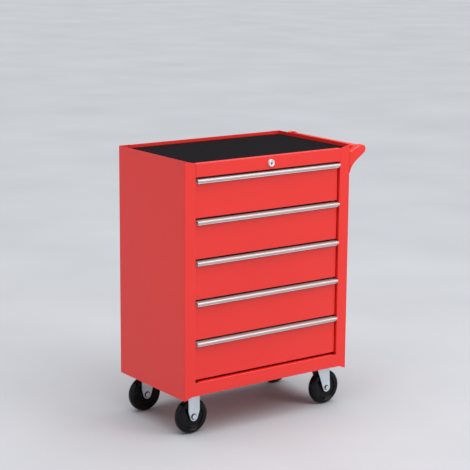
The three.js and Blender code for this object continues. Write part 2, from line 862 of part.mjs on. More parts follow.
function handleEar(end) {
  const outer = end * halfDepth;
  const open = end * (halfDepth - earDepth);
  const [y0, y1] = [Math.min(outer, open), Math.max(outer, open)];
  const hollow = end < 0 ? [y0 + earSheet, y1 + overrun] : [y0 - overrun, y1 - earSheet];
  const ear = cut(alongY(earOutline(0), y0, y1), alongY(earOutline(earSheet), ...hollow));
  const placed = ear.translate([halfWidth + seam, 0, bodyHeight]);
  return cut(placed, ...earBolts((y, z) => barX(
    earBoltRadius + seam, [y, z], halfWidth - overrun, halfWidth + earSheet + overrun, tinySides,
  )));
}

function handleTube() {
  const half = halfDepth - earSheet - seam;
  const tube = turned([
    [tubeRadius - tubeWall, -half],
    [tubeRadius, -half],
    [tubeRadius, half],
    [tubeRadius - tubeWall, half],
    [tubeRadius - tubeWall, -half],
  ]);
  return tube.translate([halfWidth + seam + earTipOut, 0, bodyHeight - earTipDrop]);
}

// A plate inside the side sheet with two studs that hold an ear, and the studs' nuts
function handleStuds(end) {
  const face = halfWidth + 2 * seam + earSheet;
  const inside = halfWidth - sheet - seam;
  const y = end * (halfDepth - earBoltSetback);
  const [zTop, zLow] = [bodyHeight - earBoltDrops[0], bodyHeight - earBoltDrops[1]];
  const plate = block(
    [inside - studPlate, y - studPlateMargin, zLow - studPlateMargin],
    [inside, y + studPlateMargin, zTop + studPlateMargin],
  );
  return join(plate, ...[zTop, zLow].flatMap((z) => [
    barX(earBoltRadius, [y, z], inside - studPlate / 2, face + earBoltHeadHeight + studEndProud, tinySides),
    barX(earBoltHeadRadius, [y, z], face, face + earBoltHeadHeight, hexSides),
  ]));
}

// Caster forks: a channel bent from sheet, trimmed to the fork's side view. The side view
// is drawn about the axle.
function forkChannel(top, x0, x1) {
  const inner = forkInner;
  const outer = forkOuter;
  const bend = forkBend;
  const low = axleZ - forkTipRadius - overrun;
  const shape = new THREE.Shape();
  shape.moveTo(-outer, low);
  shape.lineTo(-outer, top - bend);
  shape.absarc(-outer + bend, top - bend, bend, Math.PI, Math.PI / 2, true);
  shape.lineTo(outer - bend, top);
  shape.absarc(outer - bend, top - bend, bend, Math.PI / 2, 0, true);
  shape.lineTo(outer, low);
  shape.lineTo(inner, low);
  shape.lineTo(inner, top - bend);
  shape.absarc(inner - bend + forkSheet, top - bend, bend - forkSheet, 0, Math.PI / 2, false);
  shape.lineTo(-inner + bend - forkSheet, top - forkSheet);
  shape.absarc(-inner + bend - forkSheet, top - bend, bend - forkSheet, Math.PI / 2, Math.PI, false);
  shape.lineTo(-inner, low);
  return alongX(shape, x0, x1);
}

function axleHole(x) {
  const reach = forkOuter + overrun;
  return barY(axleRadius + axleClearance, [x, axleZ], -reach, reach, smallSides);
}

// A caster's plate, bolted through the base pan
function casterPlate(top, under) {
  const [a, b, r] = [plateLength / 2, plateWidth / 2, plateCornerRadius];
  const shape = new THREE.Shape();
  shape.absarc(a - r, b - r, r, 0, Math.PI / 2, false);
  shape.absarc(-a + r, b - r, r, Math.PI / 2, Math.PI, false);
  shape.absarc(-a + r, -b + r, r, Math.PI, Math.PI * 3 / 2, false);
  shape.absarc(a - r, -b + r, r, Math.PI * 3 / 2, Math.PI * 2, false);
  const nut = baseTop + seam;
  const bolts = [-1, 1].flatMap((i) => [-1, 1].map((j) => [i * plateBoltX, j * plateBoltY]));
  return join(alongZ(shape, under, top, cornerSteps), ...bolts.flatMap((at) => [
    barZ(boltHeadRadius, at, under - boltHeadHeight, under + sink, hexSides),
    barZ(boltRadius, at, under, nut + boltNutHeight + boltEndProud, tinySides),
    barZ(boltHeadRadius, at, nut, nut + boltNutHeight, hexSides),
  ]));
}

function rigidFork() {
  const top = plateUnder + sink;
  const half = forkWidth / 2;
  const tip = forkTipRadius;
  const side = new THREE.Shape();
  side.moveTo(-half, top + overrun);
  side.lineTo(-half, axleZ + forkShoulderRise);
  side.lineTo(-tip, axleZ);
  side.absarc(0, axleZ, tip, Math.PI, Math.PI * 2, false);
  side.lineTo(half, axleZ + forkShoulderRise);
  side.lineTo(half, top + overrun);
  const reach = forkOuter + overrun;
  const fork = forkChannel(top, -half - overrun, half + overrun).intersect(alongY(side, -reach, reach));
  return cut(join(fork, casterPlate(plateTop, plateUnder)), axleHole(0));
}

const raceUnder = plateUnder - raceHeight;
const crownTop = raceUnder - swivelGap;
const crownUnder = crownTop - crownHeight;

// The swivel caster's top plate, with its race and the riveted kingpin
function swivelPlate() {
  const pinEnd = crownUnder - forkSheet - swivelGap;
  const race = barZ(raceRadius, [0, 0], raceUnder, plateUnder + sink, roundSides);
  const pin = barZ(kingpinRadius, [0, 0], pinEnd - kingpinHeadHeight, plateUnder, smallSides);
  const head = barZ(kingpinHeadRadius, [0, 0], pinEnd - kingpinHeadHeight, pinEnd, smallSides);
  return join(casterPlate(plateTop, plateUnder), race, pin, head);
}

function swivelFork() {
  const top = crownUnder + sink;
  const axleX = casterTrail;
  const tip = forkTipRadius;
  const side = new THREE.Shape();
  side.moveTo(-crownHalf, top + overrun);
  side.lineTo(-crownHalf, top - forkBend);
  side.lineTo(axleX - tip, axleZ);
  side.absarc(axleX, axleZ, tip, Math.PI, Math.PI * 2, false);
  side.lineTo(crownHalf, top - forkBend);
  side.lineTo(crownHalf, top + overrun);
  const reach = forkOuter + overrun;
  const far = Math.max(crownHalf, axleX + tip) + overrun;
  const channel = forkChannel(top, -crownHalf - overrun, far).intersect(alongY(side, -reach, reach));
  const crown = barZ(crownRadius, [0, 0], crownUnder, crownTop, roundSides);
  const hole = barZ(kingpinRadius + seam, [0, 0], crownUnder - 2 * forkSheet, crownTop + overrun, smallSides);
  return cut(join(channel, crown), hole, axleHole(axleX));
}

// An axle bolt with its head behind and its nut in front
function axleBolt() {
  const face = forkOuter + seam;
  return join(
    barY(axleRadius, [0, 0], -face - axleNutHeight, face + sink, smallSides),
    barY(axleEndRadius, [0, 0], -face - axleNutHeight - axleEndProud, -face, smallSides),
    barY(axleNutRadius, [0, 0], -face - axleNutHeight, -face, hexSides),
    barY(axleNutRadius, [0, 0], face, face + axleNutHeight, hexSides),
  );
}

// A moulded wheel: round shoulders, a flat rim ring, a sunk disc and a hub that runs on
// the axle
function wheel() {
  const half = wheelWidth / 2;
  const hub = half + hubProud;
  const disc = half - webSink;
  const bore = axleRadius + axleClearance;
  const shoulder = Array.from({ length: treadSteps + 1 }, (_, i) => {
    const angle = i / treadSteps * Math.PI / 2;
    return [
      wheelRadius - treadRadius + treadRadius * Math.cos(angle),
      half - treadRadius + treadRadius * Math.sin(angle),
    ];
  });
  const upper = [
    ...shoulder,
    [webRadius, half],
    [webRadius - webTaper, disc],
    [hubRadius + hubTaper, disc],
    [hubRadius, hub],
    [bore, hub],
  ];
  const lower = upper.map(([r, y]) => [r, -y]).reverse();
  return turned([...lower, ...upper, lower[0]], wheelSides);
}

// The body
addPart('side_panel_left', sidePanel(-1), paint);
addPart('side_panel_right', sidePanel(1), paint);
addPart('back_panel', backPanel(), paint);
addPart('base_pan', basePan(), paint);
addPart('top_tray', topTray(), paint);
addPart('top_mat', topMat(), foam);
addPart('top_rail', topRail(), paint);
addPart('bottom_rail', bottomRail(), paint);

// The handle on the right side
addPart('handle_ear_front', handleEar(-1), paint);
addPart('handle_ear_rear', handleEar(1), paint);
addPart('handle_tube', handleTube(), paint);
addPart('handle_studs_front', handleStuds(-1), steel);
addPart('handle_studs_rear', handleStuds(1), steel);

// Slides and drawers
addPart('slide_rack_left', slideRack(-1), steel);
addPart('slide_rack_right', slideRack(1), steel);
levels.forEach((k) => {
  const number = k + 1;
  addPart(`slide_left_${number}`, slideMiddle(-1, k), steel);
  addPart(`slide_right_${number}`, slideMiddle(1, k), steel);
  addPart(`drawer_front_${number}`, drawerFront(k), paint);
  addPart(`drawer_box_${number}`, drawerBox(k), paint);
  addPart(`drawer_pull_${number}`, drawerPull(k), aluminium);
});

// The lock
addPart('lock_housing', lockHousing(), chrome);
addPart('lock_plug', lockPlug(), chrome);
addPart('lock_rod', lockRod(), steel);
addPart('lock_bar', lockBar(), steel);
addPart('lock_guide', lockGuide(), steel);
addPart('rod_bracket', rodBracket(), steel);

// The casters: rigid ones on the left, swivel ones on the right with their wheels trailing
// outwards
const ends = ['front', 'rear'];
const axleAt = (x, y) => [x, y, axleZ];
const leftPlaces = casterPlaces.slice(0, 2);
const rightPlaces = casterPlaces.slice(2);
leftPlaces.forEach(([x, y], i) => {
  addPart(`rigid_fork_${ends[i]}`, rigidFork(), steel, [x, y, 0]);
  addPart(`rigid_axle_${ends[i]}`, axleBolt(), steel, axleAt(x, y));
  addPart(`rigid_wheel_${ends[i]}`, wheel(), rubber, axleAt(x, y));
});
rightPlaces.forEach(([x, y], i) => {
  addPart(`swivel_plate_${ends[i]}`, swivelPlate(), steel, [x, y, 0]);
  addPart(`swivel_fork_${ends[i]}`, swivelFork(), steel, [x, y, 0]);
  addPart(`swivel_axle_${ends[i]}`, axleBolt(), steel, axleAt(x + casterTrail, y));
  addPart(`swivel_wheel_${ends[i]}`, wheel(), rubber, axleAt(x + casterTrail, y));
});
export default cabinet;
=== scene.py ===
"""A steel tool cart in red powder coat: folded sheet panels, five drawers with full-width
metal pulls, a matted top, a push handle, a front lock and four casters."""

import json
import math

import bmesh
import bpy
from mathutils import Matrix, Vector


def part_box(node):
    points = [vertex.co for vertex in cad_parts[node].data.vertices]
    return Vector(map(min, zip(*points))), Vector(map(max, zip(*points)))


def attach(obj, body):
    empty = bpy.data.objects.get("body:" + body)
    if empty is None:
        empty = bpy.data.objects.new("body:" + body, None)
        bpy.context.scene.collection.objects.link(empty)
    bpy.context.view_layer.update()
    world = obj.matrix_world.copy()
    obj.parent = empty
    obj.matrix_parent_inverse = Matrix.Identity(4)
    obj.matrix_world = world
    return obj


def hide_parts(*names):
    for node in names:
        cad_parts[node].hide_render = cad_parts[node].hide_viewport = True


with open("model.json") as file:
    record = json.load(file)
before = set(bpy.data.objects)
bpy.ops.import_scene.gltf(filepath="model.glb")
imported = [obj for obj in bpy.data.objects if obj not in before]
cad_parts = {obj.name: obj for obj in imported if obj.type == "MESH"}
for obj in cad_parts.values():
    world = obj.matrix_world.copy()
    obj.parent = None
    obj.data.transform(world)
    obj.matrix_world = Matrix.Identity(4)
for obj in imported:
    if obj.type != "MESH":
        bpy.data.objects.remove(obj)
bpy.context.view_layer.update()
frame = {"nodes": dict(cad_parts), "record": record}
NODES = frame["nodes"]
RECORD = frame["record"]
SLOTS = {row["node"]: row["material_slot"] for row in RECORD["subparts"]}
BODIES = {node: body for body, names in RECORD["behaviour"]["bodies"].items() for node in names}
MM = 0.001
QUARTER = math.pi / 2

# Materials. A noise's scale is per metre, and a bump's distance is in metres.


def linear(r, g, b):
    """A display colour of 0 to 255 as linear values."""
    def one(value):
        share = value / 255
        return share / 12.92 if share <= 0.04045 else ((share + 0.055) / 1.055) ** 2.4
    return (one(r), one(g), one(b), 1.0)


class Nodes:
    """A small helper that adds shader nodes and links them in one go."""

    def __init__(self, name):
        self.material = bpy.data.materials.new(name)
        self.material.use_nodes = True
        self.tree = self.material.node_tree
        self.shader = self.tree.nodes["Principled BSDF"]
        self.coords = self.tree.nodes.new("ShaderNodeTexCoord").outputs["Object"]

    def add(self, kind, inputs, **settings):
        node = self.tree.nodes.new(kind)
        for key, value in settings.items():
            setattr(node, key, value)
        for key, value in inputs.items():
            self.put(node.inputs[key], value)
        return node

    def put(self, socket, value):
        if isinstance(value, bpy.types.NodeSocket):
            self.tree.links.new(value, socket)
        else:
            socket.default_value = value

    def set(self, **inputs):
        """Sets the shader's own sockets, or links them where a value is a node's output."""
        for key, value in inputs.items():
            self.put(self.shader.inputs[key.replace("_", " ")], value)

    def stretched(self, scale):
        return self.add("ShaderNodeMapping", {"Vector": self.coords, "Scale": scale}).outputs[0]

    def noise(self, scale, detail, vector=None):
        return self.add("ShaderNodeTexNoise", {
            "Vector": vector or self.coords, "Scale": scale, "Detail": detail,
        }).outputs["Fac"]

    def cells(self, scale):
        return self.add("ShaderNodeTexVoronoi", {"Vector": self.coords, "Scale": scale}).outputs["Distance"]

    def ranged(self, value, low, high, start=0.0, end=1.0):
        """From low to high as a value goes from start to end."""
        return self.add("ShaderNodeMapRange", {
            "Value": value, "From Min": start, "From Max": end, "To Min": low, "To Max": high,
        }).outputs[0]

    def tint(self, mask, dark, light, start=0.3, end=0.7):
        """From a dark to a light display colour as a mask goes from start to end."""
        factor = self.ranged(mask, 0.0, 1.0, start, end)
        node = self.add("ShaderNodeMix", {}, data_type="RGBA")
        self.put(node.inputs[0], factor)
        self.put(node.inputs[6], linear(*dark))
        self.put(node.inputs[7], linear(*light))
        return node.outputs[2]

    def bump(self, height, distance, strength):
        return self.add("ShaderNodeBump", {
            "Height": height, "Distance": distance, "Strength": strength,
        }).outputs[0]


def paint():
    n = Nodes("powder_coat_red")
    broad = n.noise(scale=3.0, detail=2.0)
    fine = n.noise(scale=420.0, detail=2.0)
    n.set(
        Base_Color=n.tint(broad, (224, 34, 25), (229, 38, 28)),
        Roughness=n.ranged(fine, 0.30, 0.42, 0.35, 0.65),
        Normal=n.bump(fine, distance=0.00006, strength=0.35),
        Coat_Weight=0.1,
        Coat_Roughness=0.25,
    )
    return n.material


def mat_foam():
    n = Nodes("mat_rubber")
    grain = n.cells(scale=900.0)
    soft = n.noise(scale=60.0, detail=4.0)
    n.set(
        Base_Color=n.tint(soft, (17, 15, 17), (23, 20, 22), 0.35, 0.65),
        Roughness=n.ranged(grain, 0.7, 0.9),
        Normal=n.bump(grain, distance=0.0003, strength=0.5),
        Specular_IOR_Level=0.04,
    )
    return n.material


def aluminium():
    n = Nodes("pull_aluminium")
    lines = n.noise(scale=900.0, detail=3.0, vector=n.stretched((0.01, 1.0, 1.0)))
    n.set(
        Base_Color=n.tint(lines, (194, 190, 188), (206, 202, 200)),
        Roughness=n.ranged(lines, 0.32, 0.44, 0.3, 0.7),
        Metallic=0.55,
        Normal=n.bump(lines, distance=0.00004, strength=0.5),
    )
    return n.material


def zinc():
    n = Nodes("zinc_steel")
    lines = n.noise(scale=500.0, detail=3.0, vector=n.stretched((1.0, 1.0, 0.04)))
    cloud = n.noise(scale=60.0, detail=4.0)
    n.set(
        Base_Color=n.tint(cloud, (200, 211, 218), (216, 223, 228)),
        Roughness=n.ranged(lines, 0.3, 0.42, 0.3, 0.7),
        Metallic=0.7,
        Normal=n.bump(lines, distance=0.00004, strength=0.3),
    )
    return n.material


# A darker copy of the zinc for the axle nuts, washers and heads: painted shade on their flanks
def painted_shade_steel():
    n = Nodes("nut_steel_painted_shade")
    cloud = n.noise(scale=140.0, detail=4.0)
    n.set(
        Base_Color=n.tint(cloud, (62, 64, 68), (88, 90, 94)),
        Roughness=n.ranged(cloud, 0.26, 0.4, 0.3, 0.7),
        Metallic=1.0,
        Normal=n.bump(cloud, distance=0.00005, strength=0.3),
    )
    return n.material


def chrome():
    n = Nodes("chrome")
    haze = n.noise(scale=500.0, detail=3.0)
    n.set(Base_Color=linear(240, 241, 242), Metallic=0.5, Roughness=n.ranged(haze, 0.1, 0.18, 0.3, 0.7))
    return n.material


def tyre():
    n = Nodes("wheel_rubber")
    grain = n.noise(scale=700.0, detail=3.0)
    dust = n.noise(scale=40.0, detail=4.0)
    n.set(
        Base_Color=n.tint(dust, (6, 6, 7), (11, 11, 12), 0.4, 0.75),
        Roughness=n.ranged(grain, 0.12, 0.2, 0.3, 0.7),
        Normal=n.bump(grain, distance=0.00003, strength=0.3),
        Specular_IOR_Level=0.2,
    )
    return n.material


def nylon():
    n = Nodes("nylon_guide")
    grain = n.noise(scale=300.0, detail=3.0)
    n.set(
        Base_Color=linear(206, 203, 194),
        Roughness=n.ranged(grain, 0.4, 0.55),
        Normal=n.bump(grain, distance=0.0001, strength=0.3),
    )
    return n.material


def concrete():
    n = Nodes("studio_floor")
    cloud = n.noise(scale=1.4, detail=5.0)
    n.set(Base_Color=n.tint(cloud, (166, 168, 172), (174, 176, 180)), Roughness=0.7)
    return n.material


FINISHES = {
    "paint_red": paint(),
    "mat_rubber": mat_foam(),
    "pull_aluminium": aluminium(),
    "zinc_steel": zinc(),
    "chrome": chrome(),
    "wheel_rubber": tyre(),
    "nylon_guide": nylon(),
}
NUTS_IN_PAINTED_SHADE = painted_shade_steel()

# Shapes are (points, faces) in millimetres, in the row's own frame
WELD = 0.004
LEAST_ROUND = 0.05
FOLD_STEPS = 5
TURNED_SIDES = 96
HEX_SIDES = 6


def arc(centre, radius, start, end, steps):
    angles = [start + (end - start) * i / steps for i in range(steps + 1)]
    return [(centre[0] + radius * math.cos(a), centre[1] + radius * math.sin(a)) for a in angles]


def circle(radius, sides, centre=(0, 0)):
    return arc(centre, radius, 0, math.tau * (1 - 1 / sides), sides - 1)


def quarter(steps):
    """Angles of a quarter turn in equal steps, both ends included."""
    return [QUARTER * i / steps for i in range(steps + 1)]


def curve(points, steps):
    """Points along the smooth curve that control points draw."""
    made = []
    for i in range(steps + 1):
        row = [Vector(p) for p in points]
        while len(row) > 1:
            row = [a.lerp(b, i / steps) for a, b in zip(row, row[1:])]
        made.append(tuple(row[0]))
    return made


def rectangle(low, high):
    return [(low[0], low[1]), (high[0], low[1]), (high[0], high[1]), (low[0], high[1])]


def loft(rings, closed=False):
    """A skin over rings of equal count, capped at both ends or closed on itself."""
    count = len(rings[0])
    points = [p for ring in rings for p in ring]
    faces = []
    for i in range(len(rings) if closed else len(rings) - 1):
        a, b = i * count, (i + 1) % len(rings) * count
        for j in range(count):
            k = (j + 1) % count
            faces.append((a + j, a + k, b + k, b + j))
    if not closed:
        faces.append(tuple(range(count)))
        faces.append(tuple(range(len(points) - count, len(points))))
    return points, faces


def together(*shapes):
    points, faces = [], []
    for more_points, more_faces in shapes:
        start = len(points)
        points += more_points
        faces += [tuple(i + start for i in face) for face in more_faces]
    return points, faces


def moved(shape, place):
    return [tuple(Vector(p) + Vector(place)) for p in shape[0]], shape[1]


def mirrored(shape, axis):
    """The shape mirrored in the plane through the origin that is square to an axis."""
    turn = [-1 if name == axis else 1 for name in "xyz"]
    return [tuple(a * b for a, b in zip(p, turn)) for p in shape[0]], shape[1]


# A section's (u, v) and its distance w along an axis as (x, y, z)
ALONG = {
    "x": lambda u, v, w: (w, u, v),
    "y": lambda u, v, w: (u, w, v),
    "z": lambda u, v, w: (u, v, w),
}


def prism(section, start, end, axis):
    return loft([[ALONG[axis](u, v, w) for u, v in section] for w in (start, end)])


def block(low, high):
    """A plain block between two corners."""
    return prism(rectangle(low, high), low[2], high[2], "z")


def stacked(outline, profile, axis):
    """A skin over an outline that is drawn smaller by each inset of a profile, at its height."""
    return loft([[ALONG[axis](u, v, w) for u, v in outline(inset)] for inset, w in profile])


def turned(profile, axis, sides=TURNED_SIDES):
    """A profile of (radius, height) points turned about an axis, closed on itself if it has a bore."""
    rings = []
    for radius, height in profile:
        ring = circle(max(radius, WELD / 4), sides)
        rings.append([ALONG[axis](u, v, height) for u, v in ring])
    return loft(rings, profile[0][0] > 0)


def rounded_rectangle(half_u, half_v, radius, steps=4):
    def outline(inset):
        r = max(radius - inset, LEAST_ROUND)
        u, v = half_u - inset - r, half_v - inset - r
        corners = ((u, v), (-u, v), (-u, -v), (u, -v))
        return [p for i, c in enumerate(corners) for p in arc(c, r, i * QUARTER, (i + 1) * QUARTER, steps)]
    return outline


def hexagonal(radius):
    """A hexagon's outline, by its radius at the corners."""
    def outline(inset):
        return circle(radius - inset / math.cos(math.pi / HEX_SIDES), HEX_SIDES)
    return outline


def pan_profile(depth, sheet, fold, hem=0.0):
    """Insets and heights from a pan's outer face round its fold to the rim and back inside."""
    def round_fold(radius):
        return [(fold - radius * math.sin(a), fold - radius * math.cos(a)) for a in quarter(FOLD_STEPS)]
    rim = [(0, depth), (sheet, depth)]
    if hem:
        half = sheet / 2
        rim = [
            (0, depth - half), (half / 2, depth - half / 4), (half, depth), (hem - half, depth),
            (hem, depth - half), (hem - half, depth - sheet), (sheet, depth - sheet),
        ]
    return round_fold(fold) + rim + round_fold(fold - sheet)[::-1]


# Share of the way to the corner at which a turn's control points lie, so that it is round
ROUND_SHARE = 0.552


def round_turn(start, corner, end, steps):
    """A round corner from start to end, drawn towards their shared corner."""
    corner = Vector(corner)
    leaving = Vector(start).lerp(corner, ROUND_SHARE)
    arriving = Vector(end).lerp(corner, ROUND_SHARE)
    return curve([start, leaving, arriving, end], steps)


def folded_section(path, fold, sheet, steps=FOLD_STEPS):
    """The closed section of a folded sheet, whose outer face follows a path with the sheet on its left."""
    def rounded(points, radius):
        made = [points[0]]
        for before, corner, after in zip(points, points[1:], points[2:]):
            back = Vector(corner) + (Vector(before) - Vector(corner)).normalized() * radius
            on = Vector(corner) + (Vector(after) - Vector(corner)).normalized() * radius
            made += round_turn(back, corner, on, steps)
        return made + [points[-1]]

    def beside(points):
        made = []
        for i, here in enumerate(points):
            near = points[max(i - 1, 0):i + 2]
            runs = [(Vector(b) - Vector(a)).normalized() for a, b in zip(near, near[1:])]
            sides = [Vector((-run.y, run.x)) for run in runs]
            share = 1 + sides[0].dot(sides[1]) if len(sides) > 1 else 1
            made.append(tuple(Vector(here) + sum(sides, Vector((0, 0))) * sheet / share))
        return made
    return rounded(path, fold) + rounded(beside(path), fold - sheet)[::-1]


def clean(mesh):
    bm = bmesh.new()
    bm.from_mesh(mesh)
    bmesh.ops.remove_doubles(bm, verts=bm.verts, dist=WELD)
    bmesh.ops.recalc_face_normals(bm, faces=bm.faces)
    bm.to_mesh(mesh)
    bm.free()


def as_mesh(name, shape):
    mesh = bpy.data.meshes.new(name)
    mesh.from_pydata([Vector(p) for p in shape[0]], [], shape[1])
    clean(mesh)
    return mesh


def add_object(name, data):
    obj = bpy.data.objects.new(name, data)
    bpy.context.scene.collection.objects.link(obj)
    return obj


def carved(shape, tool, operation="DIFFERENCE"):
    """A shape after an exact boolean with another one."""
    target, cutter = (add_object("work", as_mesh("work", s)) for s in (shape, tool))
    modifier = target.modifiers.new("carve", "BOOLEAN")
    modifier.object = cutter
    modifier.operation = operation
    modifier.solver = "EXACT"
    result = target.evaluated_get(bpy.context.evaluated_depsgraph_get())
    made = [tuple(v.co) for v in result.data.vertices], [tuple(p.vertices) for p in result.data.polygons]
    for obj in (target, cutter):
        bpy.data.objects.remove(obj)
    return made


# Pieces. Angles in degrees: from which an edge is rounded, from which it stays sharp in a
# piece that isn't bevelled, and up to which two faces of a node count as one flat.
EDGE_ANGLE = 32.0
SHARP_TURNED = 40
SHARP_TUBE = 50
SHARP_WHEEL = 60
FLAT_ANGLE = 0.5
BEVEL_SEGMENTS = 2


def soften(obj, width, angle=EDGE_ANGLE):
    """Rounds an object's edges and keeps its flat faces flat in the light."""
    if width:
        bevel = obj.modifiers.new("edges", "BEVEL")
        bevel.width = width * MM
        bevel.segments = BEVEL_SEGMENTS
        bevel.limit_method = "ANGLE"
        bevel.angle_limit = math.radians(angle)
    for face in obj.data.polygons:
        face.use_smooth = True
    obj.modifiers.new("light", "WEIGHTED_NORMAL")


def piece(name, shape, node, edge=0.0, angle=EDGE_ANGLE, sharp=None, slot=None, finish=None):
    """A visible piece that stands for a node and moves with it."""
    slot = slot or SLOTS[node]
    mesh = as_mesh(name, shape)
    mesh.transform(Matrix.Scale(MM, 4))
    mesh.materials.append(finish or FINISHES[slot])
    obj = add_object(name, mesh)
    if sharp:
        for face in mesh.polygons:
            face.use_smooth = True
        mesh.set_sharp_from_angle(angle=math.radians(sharp))
    else:
        soften(obj, edge, angle)
    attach(obj, BODIES[node])
    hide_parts(node)


def finish_node(name, edge=0.0):
    """A node that is shown as it is, in its finish and with softened edges."""
    obj = NODES[name]
    obj.data.materials.clear()
    obj.data.materials.append(FINISHES[SLOTS[name]])
    if "custom_normal" in obj.data.attributes:
        obj.data.attributes.remove(obj.data.attributes["custom_normal"])
    weld = obj.modifiers.new("weld", "WELD")
    weld.merge_threshold = WELD * MM
    flats = obj.modifiers.new("flats", "DECIMATE")
    flats.decimate_type = "DISSOLVE"
    flats.angle_limit = math.radians(FLAT_ANGLE)
    soften(obj, edge)


def span(node):
    """A node's lowest and highest corners, in millimetres."""
    low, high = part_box(node)
    return low / MM, high / MM


def centre(node):
    low, high = span(node)
    return (low + high) / 2


# The body's own origin, at the middle of its lowest edge
LEFT, RIGHT = span("side_panel_left"), span("side_panel_right")
ORIGIN = Vector(((LEFT[0].x + RIGHT[1].x) / 2, (LEFT[0].y + LEFT[1].y) / 2, LEFT[0].z))
DRAWERS = range(1, 6)
ENDS = ("front", "rear")
GAP = 0.3
PAST = 1.0  # how far a cutting shape, or an end that is out of sight, runs past a face

# Widths of the rounded edges
SHEET_EDGE = 0.25
FOLD_EDGE = 0.2
STEEL_EDGE = 0.3
PULL_EDGE = 0.18
FORK_EDGE = 0.5
BOLT_EDGE = 0.15
LOCK_NUT_EDGE = 0.4
PLUG_EDGE = 0.12
SHADE_FILL_EDGE = 0.1

# Sheet metal
SHEET = 1.2
HEM_HEIGHT = 8.7
HEM_REACH = 2.2


def sheet_panels():
    """The large panels, shown as they are. The pans' edges are too fine to be rounded."""
    for name in ("side_panel_left", "side_panel_right"):
        finish_node(name, SHEET_EDGE)
    for name in ("top_tray", "base_pan"):
        finish_node(name)


def back_panel():
    """The back sheet, whose hem at the top laps past the seams to the sides."""
    low, high = span("back_panel")
    sheet = block((low.x, high.y - SHEET, low.z), high)
    hem_low = (low.x - HEM_REACH, low.y, high.z - HEM_HEIGHT)
    hem_high = (high.x + HEM_REACH, high.y - SHEET / 2, high.z)
    shape = carved(sheet, block(hem_low, hem_high), "UNION")
    piece("back_panel_hemmed", shape, "back_panel", edge=SHEET_EDGE)


# Rails
LOCK_BARREL = 8.4
LOCK_AXIS = centre("lock_plug")
TOP_RETURN = 12.0
RAIL_FOLD = 2.0
RAIL_SEAM = 0.2
TOP_RAIL_LIFT = 2.8
BARREL_SIDES = 48


def rail(node, top_return, lift=0.0):
    """A rail in its node's place, folded back at its top and foot, its foot raised by a lift."""
    low, high = span(node)
    foot = low.z + lift
    path = [(low.y + top_return, high.z), (low.y, high.z), (low.y, foot), (high.y, foot)]
    return prism(folded_section(path, RAIL_FOLD, SHEET), low.x - RAIL_SEAM, high.x + RAIL_SEAM, "x")


def rails():
    face = span("top_rail")[0].y
    barrel = circle(LOCK_BARREL + GAP, BARREL_SIDES, (ORIGIN.x, LOCK_AXIS.z))
    hole = prism(barrel, face - SHEET, face + 2 * SHEET, "y")
    shape = carved(rail("top_rail", TOP_RETURN, TOP_RAIL_LIFT), hole)
    piece("top_rail_folded", shape, "top_rail", edge=FOLD_EDGE)
    low, high = span("bottom_rail")
    piece("bottom_rail_folded", rail("bottom_rail", high.y - low.y), "bottom_rail", edge=FOLD_EDGE)


# Mat
MAT_CORNER = 3.0
MAT_ROUND = 0.9


def top_mat():
    low, high = span("top_mat")
    mid = centre("top_mat")
    outline = rounded_rectangle((high.x - low.x) / 2, (high.y - low.y) / 2, MAT_CORNER)
    edge = high.z - low.z - MAT_ROUND
    profile = [(0, 0)]
    profile += [(MAT_ROUND - MAT_ROUND * math.cos(a), edge + MAT_ROUND * math.sin(a)) for a in quarter(4)]
    piece("top_mat_foam", moved(stacked(outline, profile, "z"), (mid.x, mid.y, low.z)), "top_mat")


# Drawers
FRONT_SHEET = 1.0
FRONT_FOLD = 1.8
FRONT_CORNER = 1.4
FRONT_LIFT = 2.8
MEMBER_PROUD = 8.0
MEMBER_HALF = 9.5
MEMBER_SHEET = 1.0
MEMBER_FOLD = 1.7
SLIDE_LIFT = 43.0
TONGUE_REACH = 12.7
TONGUE_WIDTH = 8.0
TONGUE_SHEET = 1.5
TONGUE_FOLD = 2.0
TONGUE_HOOK = 16.0
TONGUE_DROP = 12.0
BOX_HEM = 4.0


def drawer_front(number):
    node = f"drawer_front_{number}"
    low, high = span(node)
    foot = low.z + FRONT_LIFT
    outline = rounded_rectangle((high.x - low.x) / 2, (high.z - foot) / 2, FRONT_CORNER)
    shape = stacked(outline, pan_profile(high.y - low.y, FRONT_SHEET, FRONT_FOLD), "y")
    piece(f"{node}_pressed", moved(shape, (centre(node).x, low.y, (high.z + foot) / 2)), node)


def drawer_box(number):
    """A drawer's hemmed tray, its two slide members and the tongue for the lock bar."""
    node = f"drawer_box_{number}"
    low, high = span(node)
    half = (high.x - low.x) / 2 - MEMBER_PROUD
    back = high.y - TONGUE_REACH
    outline = rounded_rectangle(half, (back - low.y) / 2, FRONT_CORNER)
    shape = stacked(outline, pan_profile(high.z - low.z, FRONT_SHEET, FRONT_FOLD, BOX_HEM), "z")
    piece(f"{node}_tray", moved(shape, (ORIGIN.x, (low.y + back) / 2, low.z)), node)
    middle_low, middle_high = span(f"slide_left_{number}")
    path = [(MEMBER_PROUD, MEMBER_HALF), (0, MEMBER_HALF), (0, -MEMBER_HALF), (MEMBER_PROUD, -MEMBER_HALF)]
    section = folded_section(path, MEMBER_FOLD, MEMBER_SHEET)
    member = prism(section, middle_low.y, min(middle_high.y, back), "y")
    for name, side, shape in (("right", 1, member), ("left", -1, mirrored(member, "x"))):
        place = (ORIGIN.x + side * half, 0, low.z + SLIDE_LIFT)
        piece(f"{node}_member_{name}", moved(shape, place), node, edge=FOLD_EDGE, slot="zinc_steel")
    top = high.z - TONGUE_DROP
    path = [(high.y, top - TONGUE_HOOK), (high.y, top), (back, top)]
    hook = folded_section(path, TONGUE_FOLD, TONGUE_SHEET)
    x = centre("lock_bar").x
    tongue = prism(hook, x - TONGUE_WIDTH / 2, x + TONGUE_WIDTH / 2, "x")
    piece(f"{node}_tongue", tongue, node, edge=STEEL_EDGE, slot="zinc_steel")


